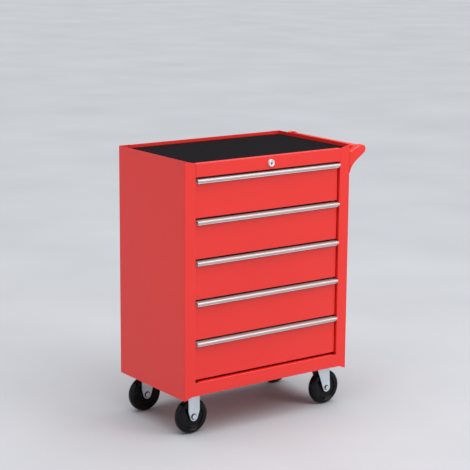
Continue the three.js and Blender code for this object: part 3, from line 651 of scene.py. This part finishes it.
# Pulls: reach in front of the drawer's face and drop below the pull's top
PULL_TAIL = 9.0
PULL_RAISE = 3.2
PULL_WALL = 1.5
PULL_DROP = 11.7
PULL_CREST = 13.4
PULL_SHOULDER = 7.5
PULL_CREASE_REACH = 7.6
PULL_CREASE_DROP = 9.6
PULL_LIP_REACH = 8.8
PULL_LIP = 0.75
PULL_LEG_DROP = 11.2
PULL_FACE_DROP = 3.4
PULL_END_CUT = 9.0
PULL_TAIL_CUT = 5.0


def pull_section():
    wall, crest, face = PULL_WALL, PULL_CREST, PULL_FACE_DROP
    crease, lip = (PULL_CREASE_REACH, PULL_CREASE_DROP), (PULL_LIP_REACH, PULL_DROP - PULL_LIP)
    outer = [(-PULL_TAIL, 0)]
    outer += curve([(PULL_SHOULDER, 0), (crest - wall, 0), (crest, wall), (crest, face)], steps=14)
    outer += curve([(crest, face), (crest, PULL_CREASE_DROP - wall), crease, lip], steps=10)[1:]
    outer += arc((lip[0] - PULL_LIP, lip[1]), PULL_LIP, 0, math.pi, steps=8)[1:]
    behind = [(lip[0] - 2 * PULL_LIP, lip[1]), (crease[0] - wall, crease[1]), (crest - wall, face)]
    inner = curve(behind, steps=8)[1:]
    inner += curve([(crest - wall, face), (crest - wall, wall), (PULL_SHOULDER, wall)], steps=8)[1:]
    leg = [
        (GAP + wall, wall), (GAP + wall, PULL_LEG_DROP), (GAP, PULL_LEG_DROP), (GAP, wall),
        (-PULL_TAIL, wall),
    ]
    return [(-reach, -drop) for reach, drop in outer + inner + leg]


def pull_shape():
    """A pull about the middle of its drawer's face, at the height of the pull's top. Its lower
    corners are cut back in a curve, and its tail is shorter than its face."""
    low, high = span("drawer_pull_1")
    half = (high.x - low.x) / 2
    bar = prism(pull_section(), -half, half, "x")
    cut, past = PULL_END_CUT, 2 * PULL_CREST
    outside = -half - PAST
    corner = [(-half, -PULL_DROP + cut), (-half, -PULL_DROP), (-half + cut, -PULL_DROP - 2 * PAST)]
    left = [(outside, PAST), (outside, -PULL_DROP + cut)] + curve(corner, steps=10)
    view = left + [(-u, v) for u, v in left[::-1]]
    shape = carved(bar, prism(view, -past, past, "y"), "INTERSECT")
    tail_end = prism(rectangle((outside, -past), (-half + PULL_TAIL_CUT, past)), -GAP, past, "y")
    return carved(carved(shape, tail_end), mirrored(tail_end, "x"))


def drawer_pulls():
    shape = pull_shape()
    for number in DRAWERS:
        node = f"drawer_pull_{number}"
        high = span(node)[1]
        place = (centre(node).x, high.y - PULL_TAIL, high.z + PULL_RAISE)
        piece(f"{node}_hooked", moved(shape, place), node, edge=PULL_EDGE)


# Slides
RACE_RISE = 2.3
CAGE_LENGTH = 130.0
CAGE_MARGIN = 8.0
CAGE_SHEET = 0.5
OUTER_BALL = 1.25
INNER_BALL = 1.45
OUTER_BALL_REACH = 2.8
INNER_BALL_REACH = 5.0
BALL_COUNT = 14
BALL_SIDES = 12
BALL_RINGS = 6
RUNNER_FOLD = 1.8


def ball(radius):
    girth = arc((0, 0), radius, -QUARTER, QUARTER, BALL_RINGS)[1:-1]
    return turned([(0, -radius), *girth, (0, radius)], "z", BALL_SIDES)


def cage(radius, reach, level, start):
    """A ball cage: a thin strip with a row of balls."""
    half = CAGE_SHEET / 2
    strip = rectangle((reach - CAGE_SHEET, level - half), (reach + CAGE_SHEET, level + half))
    step = CAGE_LENGTH / BALL_COUNT
    balls = [moved(ball(radius), (reach, start + step * (i + 0.5), level)) for i in range(BALL_COUNT)]
    return together(prism(strip, start, start + CAGE_LENGTH, "y"), *balls)


def slide(side, number):
    """A drawer's middle slide member on one side, with its four ball cages."""
    node = f"slide_{side}_{number}"
    low, high = span(node)
    half = (high.z - low.z) / 2 - RACE_RISE
    reach = high.x - low.x
    path = [(reach, half), (0, half), (0, -half), (reach, -half)]
    runner = prism(folded_section(path, RUNNER_FOLD, MEMBER_SHEET), low.y, high.y, "y")
    rows = [
        (OUTER_BALL, OUTER_BALL_REACH, half + OUTER_BALL, high.y - CAGE_MARGIN - CAGE_LENGTH),
        (INNER_BALL, INNER_BALL_REACH, MEMBER_HALF + INNER_BALL, low.y + CAGE_MARGIN),
    ]
    balls = together(*[
        cage(radius, at, turn * level, start) for radius, at, level, start in rows for turn in (-1, 1)
    ])
    if side == "right":
        runner, balls = mirrored(runner, "x"), mirrored(balls, "x")
    place = (high.x if side == "right" else low.x, 0, (low.z + high.z) / 2)
    piece(f"{node}_runner", moved(runner, place), node, slot="zinc_steel", edge=FOLD_EDGE)
    piece(f"{node}_balls", moved(balls, place), node, slot="chrome", sharp=SHARP_TUBE)


# Handle on the right side: two pressed ears and a tube between them
EAR_SHEET = 2.2
EAR_FOLD = 3.2
EAR_ROOT_TOP = 22.0
EAR_ROOT_BOTTOM = 84.0
EAR_FLAT = 11.0
EAR_TIP_TURN = math.radians(50)
EAR_CHIN = (38.0, 42.0)
EAR_BELLY = (11.0, 50.0)
EAR_EDGE_ANGLE = 50
TUBE_WALL = 1.5


def ear_outline(tip, tip_radius):
    """An ear seen from the front, drawn from the side sheet outwards and the body's top downwards."""
    slope = math.atan2(EAR_ROOT_TOP - tip.y + tip_radius, tip.x - EAR_FLAT)
    chin, belly = EAR_CHIN, EAR_BELLY

    def outline(inset):
        r = tip_radius - inset
        flat_drop = tip.y - r
        flat_start = tip.x - EAR_FLAT + inset * math.tan(slope / 2)
        root_drop = flat_drop + (flat_start - inset) * math.tan(slope)
        above = curve([(inset, -root_drop), (flat_start, -flat_drop)], steps=8)
        round_tip = arc((tip.x, -tip.y), r, QUARTER, -EAR_TIP_TURN, steps=24)
        below = curve([
            round_tip[-1],
            (chin[0] - inset * math.cos(EAR_TIP_TURN), -chin[1] + inset * math.sin(EAR_TIP_TURN)),
            (belly[0], -belly[1] + inset * math.sqrt(2)),
            (inset, -EAR_ROOT_BOTTOM + (EAR_ROOT_BOTTOM - belly[1]) * inset / belly[0]),
        ], steps=24)
        return above + round_tip + below[1:]
    return outline


def handle():
    low, high = span("handle_ear_front")
    tube_low, tube_high = span("handle_tube")
    body_top = RIGHT[1].z
    tube = centre("handle_tube")
    radius, wall = (tube_high.z - tube_low.z) / 2, TUBE_WALL
    tip = Vector((tube.x - low.x, body_top - tube.z))
    outline = ear_outline(tip, radius + GAP + EAR_SHEET)
    dish = stacked(outline, pan_profile(high.y - low.y, EAR_SHEET, EAR_FOLD), "y")
    rear_low, rear_high = span("handle_ear_rear")
    for node, shape, place in (
        ("handle_ear_front", dish, (low.x - GAP, low.y, body_top)),
        ("handle_ear_rear", mirrored(dish, "y"), (rear_low.x - GAP, rear_high.y, body_top)),
    ):
        piece(f"{node}_pressed", moved(shape, place), node, edge=STEEL_EDGE, angle=EAR_EDGE_ANGLE)
    half = (tube_high.y - tube_low.y) / 2
    profile = [
        (radius - wall, -half), (radius - wall / 3, -half), (radius, -half + wall / 3),
        (radius, half - wall / 3), (radius - wall / 3, half), (radius - wall, half),
    ]
    piece("handle_tube_round", moved(turned(profile, "y"), tuple(tube)), "handle_tube", sharp=SHARP_TUBE)
    for end in ENDS:
        finish_node(f"handle_studs_{end}", STEEL_EDGE)


# Lock
LOCK_NUT = 12.0
LOCK_NUT_THICK = 4.0
LOCK_RING = 3.1
LOCK_EDGE = 1.1
LOCK_FUNNEL, LOCK_FUNNEL_DEPTH = 1.5, 1.8
PLUG_CHAMFER = 0.4
PLUG_SIDES = 64
KEY_WIDTH, KEY_HEIGHT, KEY_DEPTH, KEY_ROUND = 3.4, 10.0, 9.0, 3.0
KEY_NECK_TURN = 0.52
# A black fill set just behind the keyhole's mouth: painted shade of the keyway
KEY_SHADE_FILL = 0.6
KEY_SHADE_FILL_SHARE = 1.1


def lock_housing():
    """The lock's ring, funnelled towards the key, and the nut behind the rail."""
    low, high = span("lock_housing")
    plug_low, plug_high = span("lock_plug")
    face = span("top_rail")[0].y
    bore = (plug_high.x - plug_low.x) / 2 + GAP
    radius = bore + LOCK_RING
    start, end = low.y - face, high.y - face
    ring = [(bore, start + LOCK_FUNNEL_DEPTH), (bore + LOCK_FUNNEL, start), (radius - LOCK_EDGE, start)]
    ring += [
        (radius - LOCK_EDGE * (1 - math.sin(a)), start + LOCK_EDGE * (1 - math.cos(a)))
        for a in quarter(6)[1:]
    ]
    ring += [(radius, -GAP), (LOCK_BARREL, -GAP), (LOCK_BARREL, end), (bore, end)]
    nut = prism(hexagonal(LOCK_NUT)(0), SHEET + GAP, SHEET + GAP + LOCK_NUT_THICK, "y")
    nut = carved(nut, prism(circle(LOCK_BARREL, BARREL_SIDES), 0, 2 * LOCK_NUT_THICK, "y"))
    place = (LOCK_AXIS.x, face, LOCK_AXIS.z)
    piece("lock_housing_ring", moved(turned(ring, "y"), place), "lock_housing", sharp=SHARP_TURNED)
    piece("lock_housing_nut", moved(nut, place), "lock_housing", edge=LOCK_NUT_EDGE)


def lock_plug():
    """The key plug with its keyhole, and a black fill inside the keyhole that is painted shade."""
    low, high = span("lock_plug")
    radius, length = (high.x - low.x) / 2, high.y - low.y
    profile = [(0, 0), (radius - PLUG_CHAMFER, 0), (radius, PLUG_CHAMFER), (radius, length), (0, length)]
    keyhole = arc((0, 0), KEY_ROUND, -QUARTER + KEY_NECK_TURN, math.pi + QUARTER - KEY_NECK_TURN, steps=16)
    keyhole += [(-KEY_WIDTH / 2, -KEY_HEIGHT / 2), (KEY_WIDTH / 2, -KEY_HEIGHT / 2)]
    plug = carved(turned(profile, "y", PLUG_SIDES), prism(keyhole, -PAST, KEY_DEPTH, "y"))
    fitted = [(u * KEY_SHADE_FILL_SHARE, v * KEY_SHADE_FILL_SHARE) for u, v in keyhole]
    shade_fill = prism(fitted, KEY_SHADE_FILL, KEY_DEPTH, "y")
    place = (LOCK_AXIS.x, low.y, LOCK_AXIS.z)
    piece("lock_plug_face", moved(plug, place), "lock_plug", edge=PLUG_EDGE)
    # The keyhole's black fill, in the tyre rubber, is painted shade
    piece("lock_plug_shade_fill", moved(shade_fill, place), "lock_plug", edge=SHADE_FILL_EDGE,
          finish=FINISHES["wheel_rubber"])


def lock():
    lock_housing()
    lock_plug()
    for node in ("lock_rod", "lock_bar", "lock_guide", "rod_bracket"):
        finish_node(node, STEEL_EDGE)


# Caster plates and their bolts
PLATE_LENGTH, PLATE_WIDTH, PLATE_THICK = 84.0, 60.0, 2.5
PLATE_CORNER = 5.0
PLATE_ROUND = 0.5
PLATE_BOLT_X, PLATE_BOLT_Y = 34.0, 22.0
PLATE_TOP = span("base_pan")[0].z - GAP
BASE_SHEET = 1.5
NUT_LEVEL = PLATE_TOP + 2 * GAP + BASE_SHEET
BOLT_RADIUS, BOLT_HEAD, BOLT_HEAD_HEIGHT, BOLT_NUT_HEIGHT = 4.0, 7.5, 5.3, 6.5
BOLT_PROUD = 1.0
HEX_TURN_SHARE = 0.09
THREAD_CHAMFER = 0.8
SHAFT_SIDES = 32

# Forks
FORK_SHEET = 2.5
FORK_BEND = 5.0
FORK_BEND_STEPS = 8
FORK_WIDTH = 36.0
FORK_TIP = 12.0
FORK_TIP_STEPS = 28
FORK_SHOULDER = 17.0
FORK_OUTER = 17.0
RIM_WIDTH = 4.4
RIM_TOP = 1.6
RIM_RISE = 1.6
CROWN_HALF = 21.7

# Axles
AXLE_RADIUS = 5.0
AXLE_NUT, AXLE_NUT_HEIGHT = 8.4, 3.6
AXLE_WASHER, AXLE_WASHER_RADIUS, AXLE_WASHER_EDGE = 1.0, 9.0, 0.3
AXLE_END, AXLE_PROUD = 3.4, 1.4
# A thin bright zinc disc on each axle nut's face, a painted highlight over the darker nut
AXLE_HIGHLIGHT_DISC, AXLE_HIGHLIGHT_DISC_THICK = 6.6, 0.3
AXLE_SEAT_GAP = 0.05
AXLE_SEAT = FORK_OUTER - RIM_RISE + AXLE_SEAT_GAP
PIN_SIDES = 48
SWIVEL_NUT_SHARE = 0.8

# The swivel's race, crown and kingpin, and their heights below the plate's top
RACE_RADIUS, RACE_HEIGHT = 24.0, 4.6
RACE_SHOULDER, RACE_ROUND = 1.6, 0.6
CROWN_RADIUS, CROWN_HEIGHT, CROWN_ROUND = 21.0, 3.5, 0.8
KINGPIN_RADIUS, KINGPIN_HEAD, KINGPIN_HEAD_HEIGHT = 6.0, 9.0, 3.0
SWIVEL_GAP = 0.4
RACE_TOP = -PLATE_THICK
RACE_UNDER = RACE_TOP - RACE_HEIGHT
CROWN_TOP = RACE_UNDER - SWIVEL_GAP
CROWN_UNDER = CROWN_TOP - CROWN_HEIGHT
PIN_END = CROWN_UNDER - FORK_SHEET - SWIVEL_GAP


def hexagon(radius, start, end, axis):
    """A hexagonal head or nut with its edges turned off at both ends."""
    turn = radius * HEX_TURN_SHARE
    return stacked(hexagonal(radius), [(turn, start), (0, start + turn), (0, end - turn), (turn, end)], axis)


def stud(radius, start, end, axis):
    """A bolt's end with a small chamfer."""
    tip = THREAD_CHAMFER
    profile = [(0, start), (radius - tip, start), (radius, start + tip), (radius, end), (0, end)]
    return turned(profile, axis, SHAFT_SIDES)


def caster_plate():
    """A caster's plate about its middle, at the height of its top."""
    outline = rounded_rectangle(PLATE_LENGTH / 2, PLATE_WIDTH / 2, PLATE_CORNER, steps=8)
    soft, thick = PLATE_ROUND, PLATE_THICK
    return stacked(outline, [(soft, -thick), (0, soft - thick), (0, -soft), (soft, 0)], "z")


def plate_bolts():
    nut = NUT_LEVEL - PLATE_TOP
    one = together(
        hexagon(BOLT_HEAD, -PLATE_THICK - BOLT_HEAD_HEIGHT, -PLATE_THICK, "z"),
        stud(BOLT_RADIUS, -PLATE_THICK - PAST, nut + BOLT_NUT_HEIGHT + BOLT_PROUD, "z"),
        hexagon(BOLT_HEAD, nut, nut + BOLT_NUT_HEIGHT, "z"),
    )
    places = [(i * PLATE_BOLT_X, j * PLATE_BOLT_Y, 0) for i in (-1, 1) for j in (-1, 1)]
    return together(*[moved(one, place) for place in places])


def leg_outline(left, right, shoulder, top):
    """A fork leg seen from the front: straight sides from the top down to the shoulder's level,
    then straight to a round tip about the axle, which is at the origin."""
    def tangent(x, side):
        """Angle at which a line from a shoulder meets the round tip."""
        away = Vector((x, shoulder))
        return math.atan2(away.y, away.x) + side * math.acos(min(FORK_TIP / away.length, 1))

    def outline(inset):
        start, end = tangent(left, 1), tangent(right, -1) + math.tau
        tip = arc((0, 0), FORK_TIP - inset, start, end, FORK_TIP_STEPS)
        left_side = [(left + inset, top - inset), (left + inset, shoulder)]
        right_side = [(right - inset, shoulder), (right - inset, top - inset)]
        return left_side + tip + right_side
    return outline


def fork(outline, far, top):
    """A fork bent from sheet: a channel trimmed to its legs' outline, each leg pressed in behind a rim."""
    low, face = 2 * FORK_TIP, FORK_OUTER
    path = [(face, -low), (face, top), (-face, top), (-face, -low)]
    section = folded_section(path, FORK_BEND, FORK_SHEET, FORK_BEND_STEPS)
    trim = prism(outline(0), -2 * face, 2 * face, "y")
    shape = carved(prism(section, -far, far, "x"), trim, "INTERSECT")
    slope = (RIM_WIDTH - RIM_TOP) / RIM_RISE
    press = stacked(outline, [(RIM_TOP - slope * PAST, -face - PAST), (RIM_WIDTH, -face + RIM_RISE)], "y")
    shape = carved(shape, press)
    shape = carved(shape, mirrored(press, "y"))
    return carved(shape, prism(circle(AXLE_RADIUS + GAP, SHAFT_SIDES), -2 * face, 2 * face, "y"))


def axle_shaft(share):
    """An axle about its middle: a thin bright disc on its nut's face, a painted highlight, and its threaded
    end in front; its plain end behind.
    """
    face = -AXLE_SEAT - AXLE_NUT_HEIGHT
    end = face - AXLE_PROUD
    back = AXLE_SEAT + PAST
    highlight_disc_radius, across = AXLE_HIGHLIGHT_DISC * share, AXLE_END * share
    return turned([
        (0, end), (across - THREAD_CHAMFER, end), (across, end + THREAD_CHAMFER),
        (across, face - AXLE_HIGHLIGHT_DISC_THICK), (highlight_disc_radius, face - AXLE_HIGHLIGHT_DISC_THICK), (highlight_disc_radius, face),
        (AXLE_RADIUS, face), (AXLE_RADIUS, back), (0, back),
    ], "y", SHAFT_SIDES)


def axle_nuts(share):
    """The axle's nut and washer in front and its head behind."""
    seat, under = -AXLE_SEAT, -AXLE_SEAT - AXLE_WASHER
    rim, edge = AXLE_WASHER_RADIUS * share, AXLE_WASHER_EDGE
    profile = [(0, under), (rim - edge, under), (rim, under + edge), (rim, seat), (0, seat)]
    washer = turned(profile, "y", PIN_SIDES)
    nut = hexagon(AXLE_NUT * share, seat - AXLE_NUT_HEIGHT, under, "y")
    head = hexagon(AXLE_NUT, AXLE_SEAT, AXLE_SEAT + AXLE_NUT_HEIGHT, "y")
    return together(washer, nut, head)


def race_and_kingpin():
    """The race under a swivel plate with its riveted kingpin, about the plate's middle."""
    race = turned([
        (0, RACE_TOP), (RACE_RADIUS - RACE_SHOULDER, RACE_TOP), (RACE_RADIUS, RACE_TOP - RACE_SHOULDER),
        (RACE_RADIUS, RACE_UNDER + RACE_ROUND), (RACE_RADIUS - RACE_ROUND, RACE_UNDER), (0, RACE_UNDER),
    ], "z")
    half = KINGPIN_HEAD_HEIGHT / 2
    dome = [(KINGPIN_HEAD * math.cos(a), PIN_END - half * (1 + math.sin(a))) for a in quarter(5)[1:-1]]
    kingpin = turned([
        (0, RACE_UNDER), (KINGPIN_RADIUS, RACE_UNDER), (KINGPIN_RADIUS, PIN_END), (KINGPIN_HEAD, PIN_END),
        (KINGPIN_HEAD, PIN_END - half), *dome, (0, PIN_END - KINGPIN_HEAD_HEIGHT),
    ], "z", PIN_SIDES)
    return together(race, kingpin)


def swivel_crown():
    """The round crown on a swivel fork, about the plate's middle."""
    bore, radius, edge = KINGPIN_RADIUS + GAP, CROWN_RADIUS, CROWN_ROUND
    return turned([
        (bore, CROWN_TOP), (radius - edge, CROWN_TOP), (radius, CROWN_TOP - edge),
        (radius, CROWN_UNDER), (bore, CROWN_UNDER),
    ], "z")


# Wheels. Each soft edge is drawn by offsets from a radius and from the disc or the face.
HUB_RADIUS = 13.0
HUB_PROUD = 1.2
BORE_EDGE = 0.6
HUB_EDGE = 0.8
HUB_FOOT = ((0.6, 2.0), (0.9, 0.0), (3.0, 0.0))
WEB_SINK = 4.5
WEB_RADIUS = 33.0
WEB_FOOT = ((-4.0, 0.0), (-1.6, 0.0), (-1.2, 2.0))
WEB_LIP = ((-0.2, -1.0), (0.2, 0.0), (1.4, 0.0))
GROOVE_RADIUS, GROOVE_DEPTH, GROOVE_FLOOR = 37.2, 1.4, 0.3
TREAD_ROUND = 11.0
TREAD_STEPS = 14
WHEEL_SIDES = 128


def wheel(node):
    low, high = span(node)
    radius = (high.z - low.z) / 2
    half = (high.y - low.y) / 2 - HUB_PROUD
    bore = AXLE_RADIUS + GAP
    hub, disc = half + HUB_PROUD, half - WEB_SINK
    at, deep, floor = GROOVE_RADIUS, GROOVE_DEPTH, GROOVE_FLOOR

    def soft(offsets, out, up, steps):
        return curve([(out + u, up + v) for u, v in offsets], steps)

    side = [(bore, hub - BORE_EDGE), (bore + BORE_EDGE, hub)]
    side += [(HUB_RADIUS - HUB_EDGE, hub), (HUB_RADIUS, hub - HUB_EDGE)]
    side += soft(HUB_FOOT, HUB_RADIUS, disc, steps=4)
    side += soft(WEB_FOOT, WEB_RADIUS, disc, steps=4)
    side += soft(WEB_LIP, WEB_RADIUS, half, steps=3)
    side += [(at - deep, half), (at - floor, half - deep), (at + floor, half - deep), (at + deep, half)]
    side += [
        (radius - TREAD_ROUND * (1 - math.cos(a)), half - TREAD_ROUND * (1 - math.sin(a)))
        for a in quarter(TREAD_STEPS)[::-1]
    ]
    return turned(side + [(r, -y) for r, y in side[::-1]], "y", WHEEL_SIDES)


def casters():
    """Two rigid casters on the left and two swivel casters on the right."""
    top = PLATE_TOP - PLATE_THICK - centre("rigid_wheel_front").z
    half = FORK_WIDTH / 2
    rigid = fork(leg_outline(-half, half, FORK_SHOULDER, top + PAST), half + PAST, top)
    under = top - RACE_HEIGHT - SWIVEL_GAP - CROWN_HEIGHT
    trail = centre("swivel_wheel_front").x - centre("swivel_plate_front").x
    legs = leg_outline(-CROWN_HALF - trail, CROWN_HALF - trail, under - FORK_BEND, under + PAST)
    pin_hole = circle(KINGPIN_RADIUS + GAP, SHAFT_SIDES, (-trail, 0))
    pin_hole = prism(pin_hole, under - 2 * FORK_SHEET, under + PAST, "z")
    swivel = carved(fork(legs, CROWN_HALF + trail + PAST, under), pin_hole)
    plate, bolts = caster_plate(), plate_bolts()
    race, crown = race_and_kingpin(), swivel_crown()
    shares = (("rigid", 1.0), ("swivel", SWIVEL_NUT_SHARE))
    axles = [(kind, axle_shaft(share), axle_nuts(share)) for kind, share in shares]
    moulded = wheel("rigid_wheel_front")
    for end in ENDS:
        at = tuple(centre(f"rigid_wheel_{end}"))
        plate_at = (at[0], at[1], PLATE_TOP)
        node = f"rigid_fork_{end}"
        piece(f"{node}_legs", moved(rigid, at), node, edge=FORK_EDGE)
        piece(f"{node}_plate", moved(plate, plate_at), node, sharp=SHARP_TURNED)
        piece(f"{node}_bolts", moved(bolts, plate_at), node, edge=BOLT_EDGE)
        node = f"rigid_wheel_{end}"
        piece(f"{node}_moulded", moved(moulded, at), node, sharp=SHARP_WHEEL)
        at = tuple(centre(f"swivel_wheel_{end}"))
        plate_at = (at[0] - trail, at[1], PLATE_TOP)
        node = f"swivel_plate_{end}"
        piece(f"{node}_plate", moved(plate, plate_at), node, sharp=SHARP_TURNED)
        piece(f"{node}_bolts", moved(bolts, plate_at), node, edge=BOLT_EDGE)
        piece(f"{node}_race", moved(race, plate_at), node, sharp=SHARP_TURNED)
        node = f"swivel_fork_{end}"
        piece(f"{node}_legs", moved(swivel, at), node, edge=FORK_EDGE)
        piece(f"{node}_crown", moved(crown, plate_at), node, sharp=SHARP_TURNED)
        for kind, shaft, nuts in axles:
            node = f"{kind}_axle_{end}"
            axle_at = tuple(centre(f"{kind}_wheel_{end}"))
            piece(f"{node}_shaft", moved(shaft, axle_at), node, sharp=SHARP_TURNED)
            # The axle's nuts, washers and heads take the darker zinc copy, which is painted shade
            piece(f"{node}_nuts", moved(nuts, axle_at), node, edge=BOLT_EDGE, finish=NUTS_IN_PAINTED_SHADE)
        node = f"swivel_wheel_{end}"
        piece(f"{node}_moulded", moved(moulded, at), node, sharp=SHARP_WHEEL)


sheet_panels()
back_panel()
rails()
top_mat()
for number in DRAWERS:
    drawer_front(number)
    drawer_box(number)
    slide("left", number)
    slide("right", number)
drawer_pulls()
for side in ("left", "right"):
    finish_node(f"slide_rack_{side}")
handle()
lock()
casters()

# Camera, from a standpoint in millimetres from the body's origin
YAW, PITCH, ROLL = math.radians(35.7), math.radians(12.0), math.radians(0.42)
FOCAL_PIXELS, IMAGE_PIXELS, SENSOR = 1523.0, 470.0, 36.0
STANDPOINT = Vector((-2441.0, -3399.0, 1284.0))
FARTHEST = 50.0
ahead = Vector((math.sin(YAW) * math.cos(PITCH), math.cos(YAW) * math.cos(PITCH), -math.sin(PITCH)))
level = Vector((math.cos(YAW), -math.sin(YAW), 0.0))
upright = level.cross(ahead)
rightwards = level * math.cos(ROLL) + upright * math.sin(ROLL)
upwards = upright * math.cos(ROLL) - level * math.sin(ROLL)
camera_data = bpy.data.cameras.new("camera")
camera_data.sensor_width = SENSOR
camera_data.lens = FOCAL_PIXELS / IMAGE_PIXELS * SENSOR
camera_data.clip_end = FARTHEST
camera = add_object("camera", camera_data)
camera.matrix_world = Matrix((rightwards, upwards, -ahead)).transposed().to_4x4()
camera.location = (STANDPOINT + ORIGIN) * MM
bpy.context.scene.camera = camera

# Floor, in metres
FLOOR_HALF = 60.0
floor_mesh = bpy.data.meshes.new("floor")
corners = rectangle((-FLOOR_HALF, -FLOOR_HALF), (FLOOR_HALF, FLOOR_HALF))
floor_mesh.from_pydata([(x, y, 0.0) for x, y in corners], [], [(0, 1, 2, 3)])
floor_mesh.materials.append(concrete())
add_object("floor", floor_mesh)

# Light
world = bpy.data.worlds.new("studio")
bpy.context.scene.world = world
world.use_nodes = True
world.node_tree.nodes["Background"].inputs["Color"].default_value = linear(236, 239, 244)
world.node_tree.nodes["Background"].inputs["Strength"].default_value = 0.45
bpy.context.scene.view_settings.view_transform = "Standard"
LIT_POINT = Vector((0.0, 0.0, 0.4))


def area_light(name, energy, size, place):
    data = bpy.data.lights.new(name, "AREA")
    data.energy = energy
    data.size = size
    lamp = add_object(name, data)
    lamp.location = place
    lamp.rotation_euler = (LIT_POINT - Vector(place)).to_track_quat("-Z", "Y").to_euler()


area_light("key", energy=58.0, size=2.0, place=(1.6, -2.9, 2.2))
area_light("fill", energy=15.0, size=2.5, place=(-3.2, -0.6, 1.6))

# A wide sun stands in for a soft box overhead
overhead = bpy.data.lights.new("overhead", "SUN")
overhead.energy = 3.4
overhead.angle = math.radians(70)
add_object("overhead", overhead).rotation_euler = (math.radians(8), 0.0, 0.0)
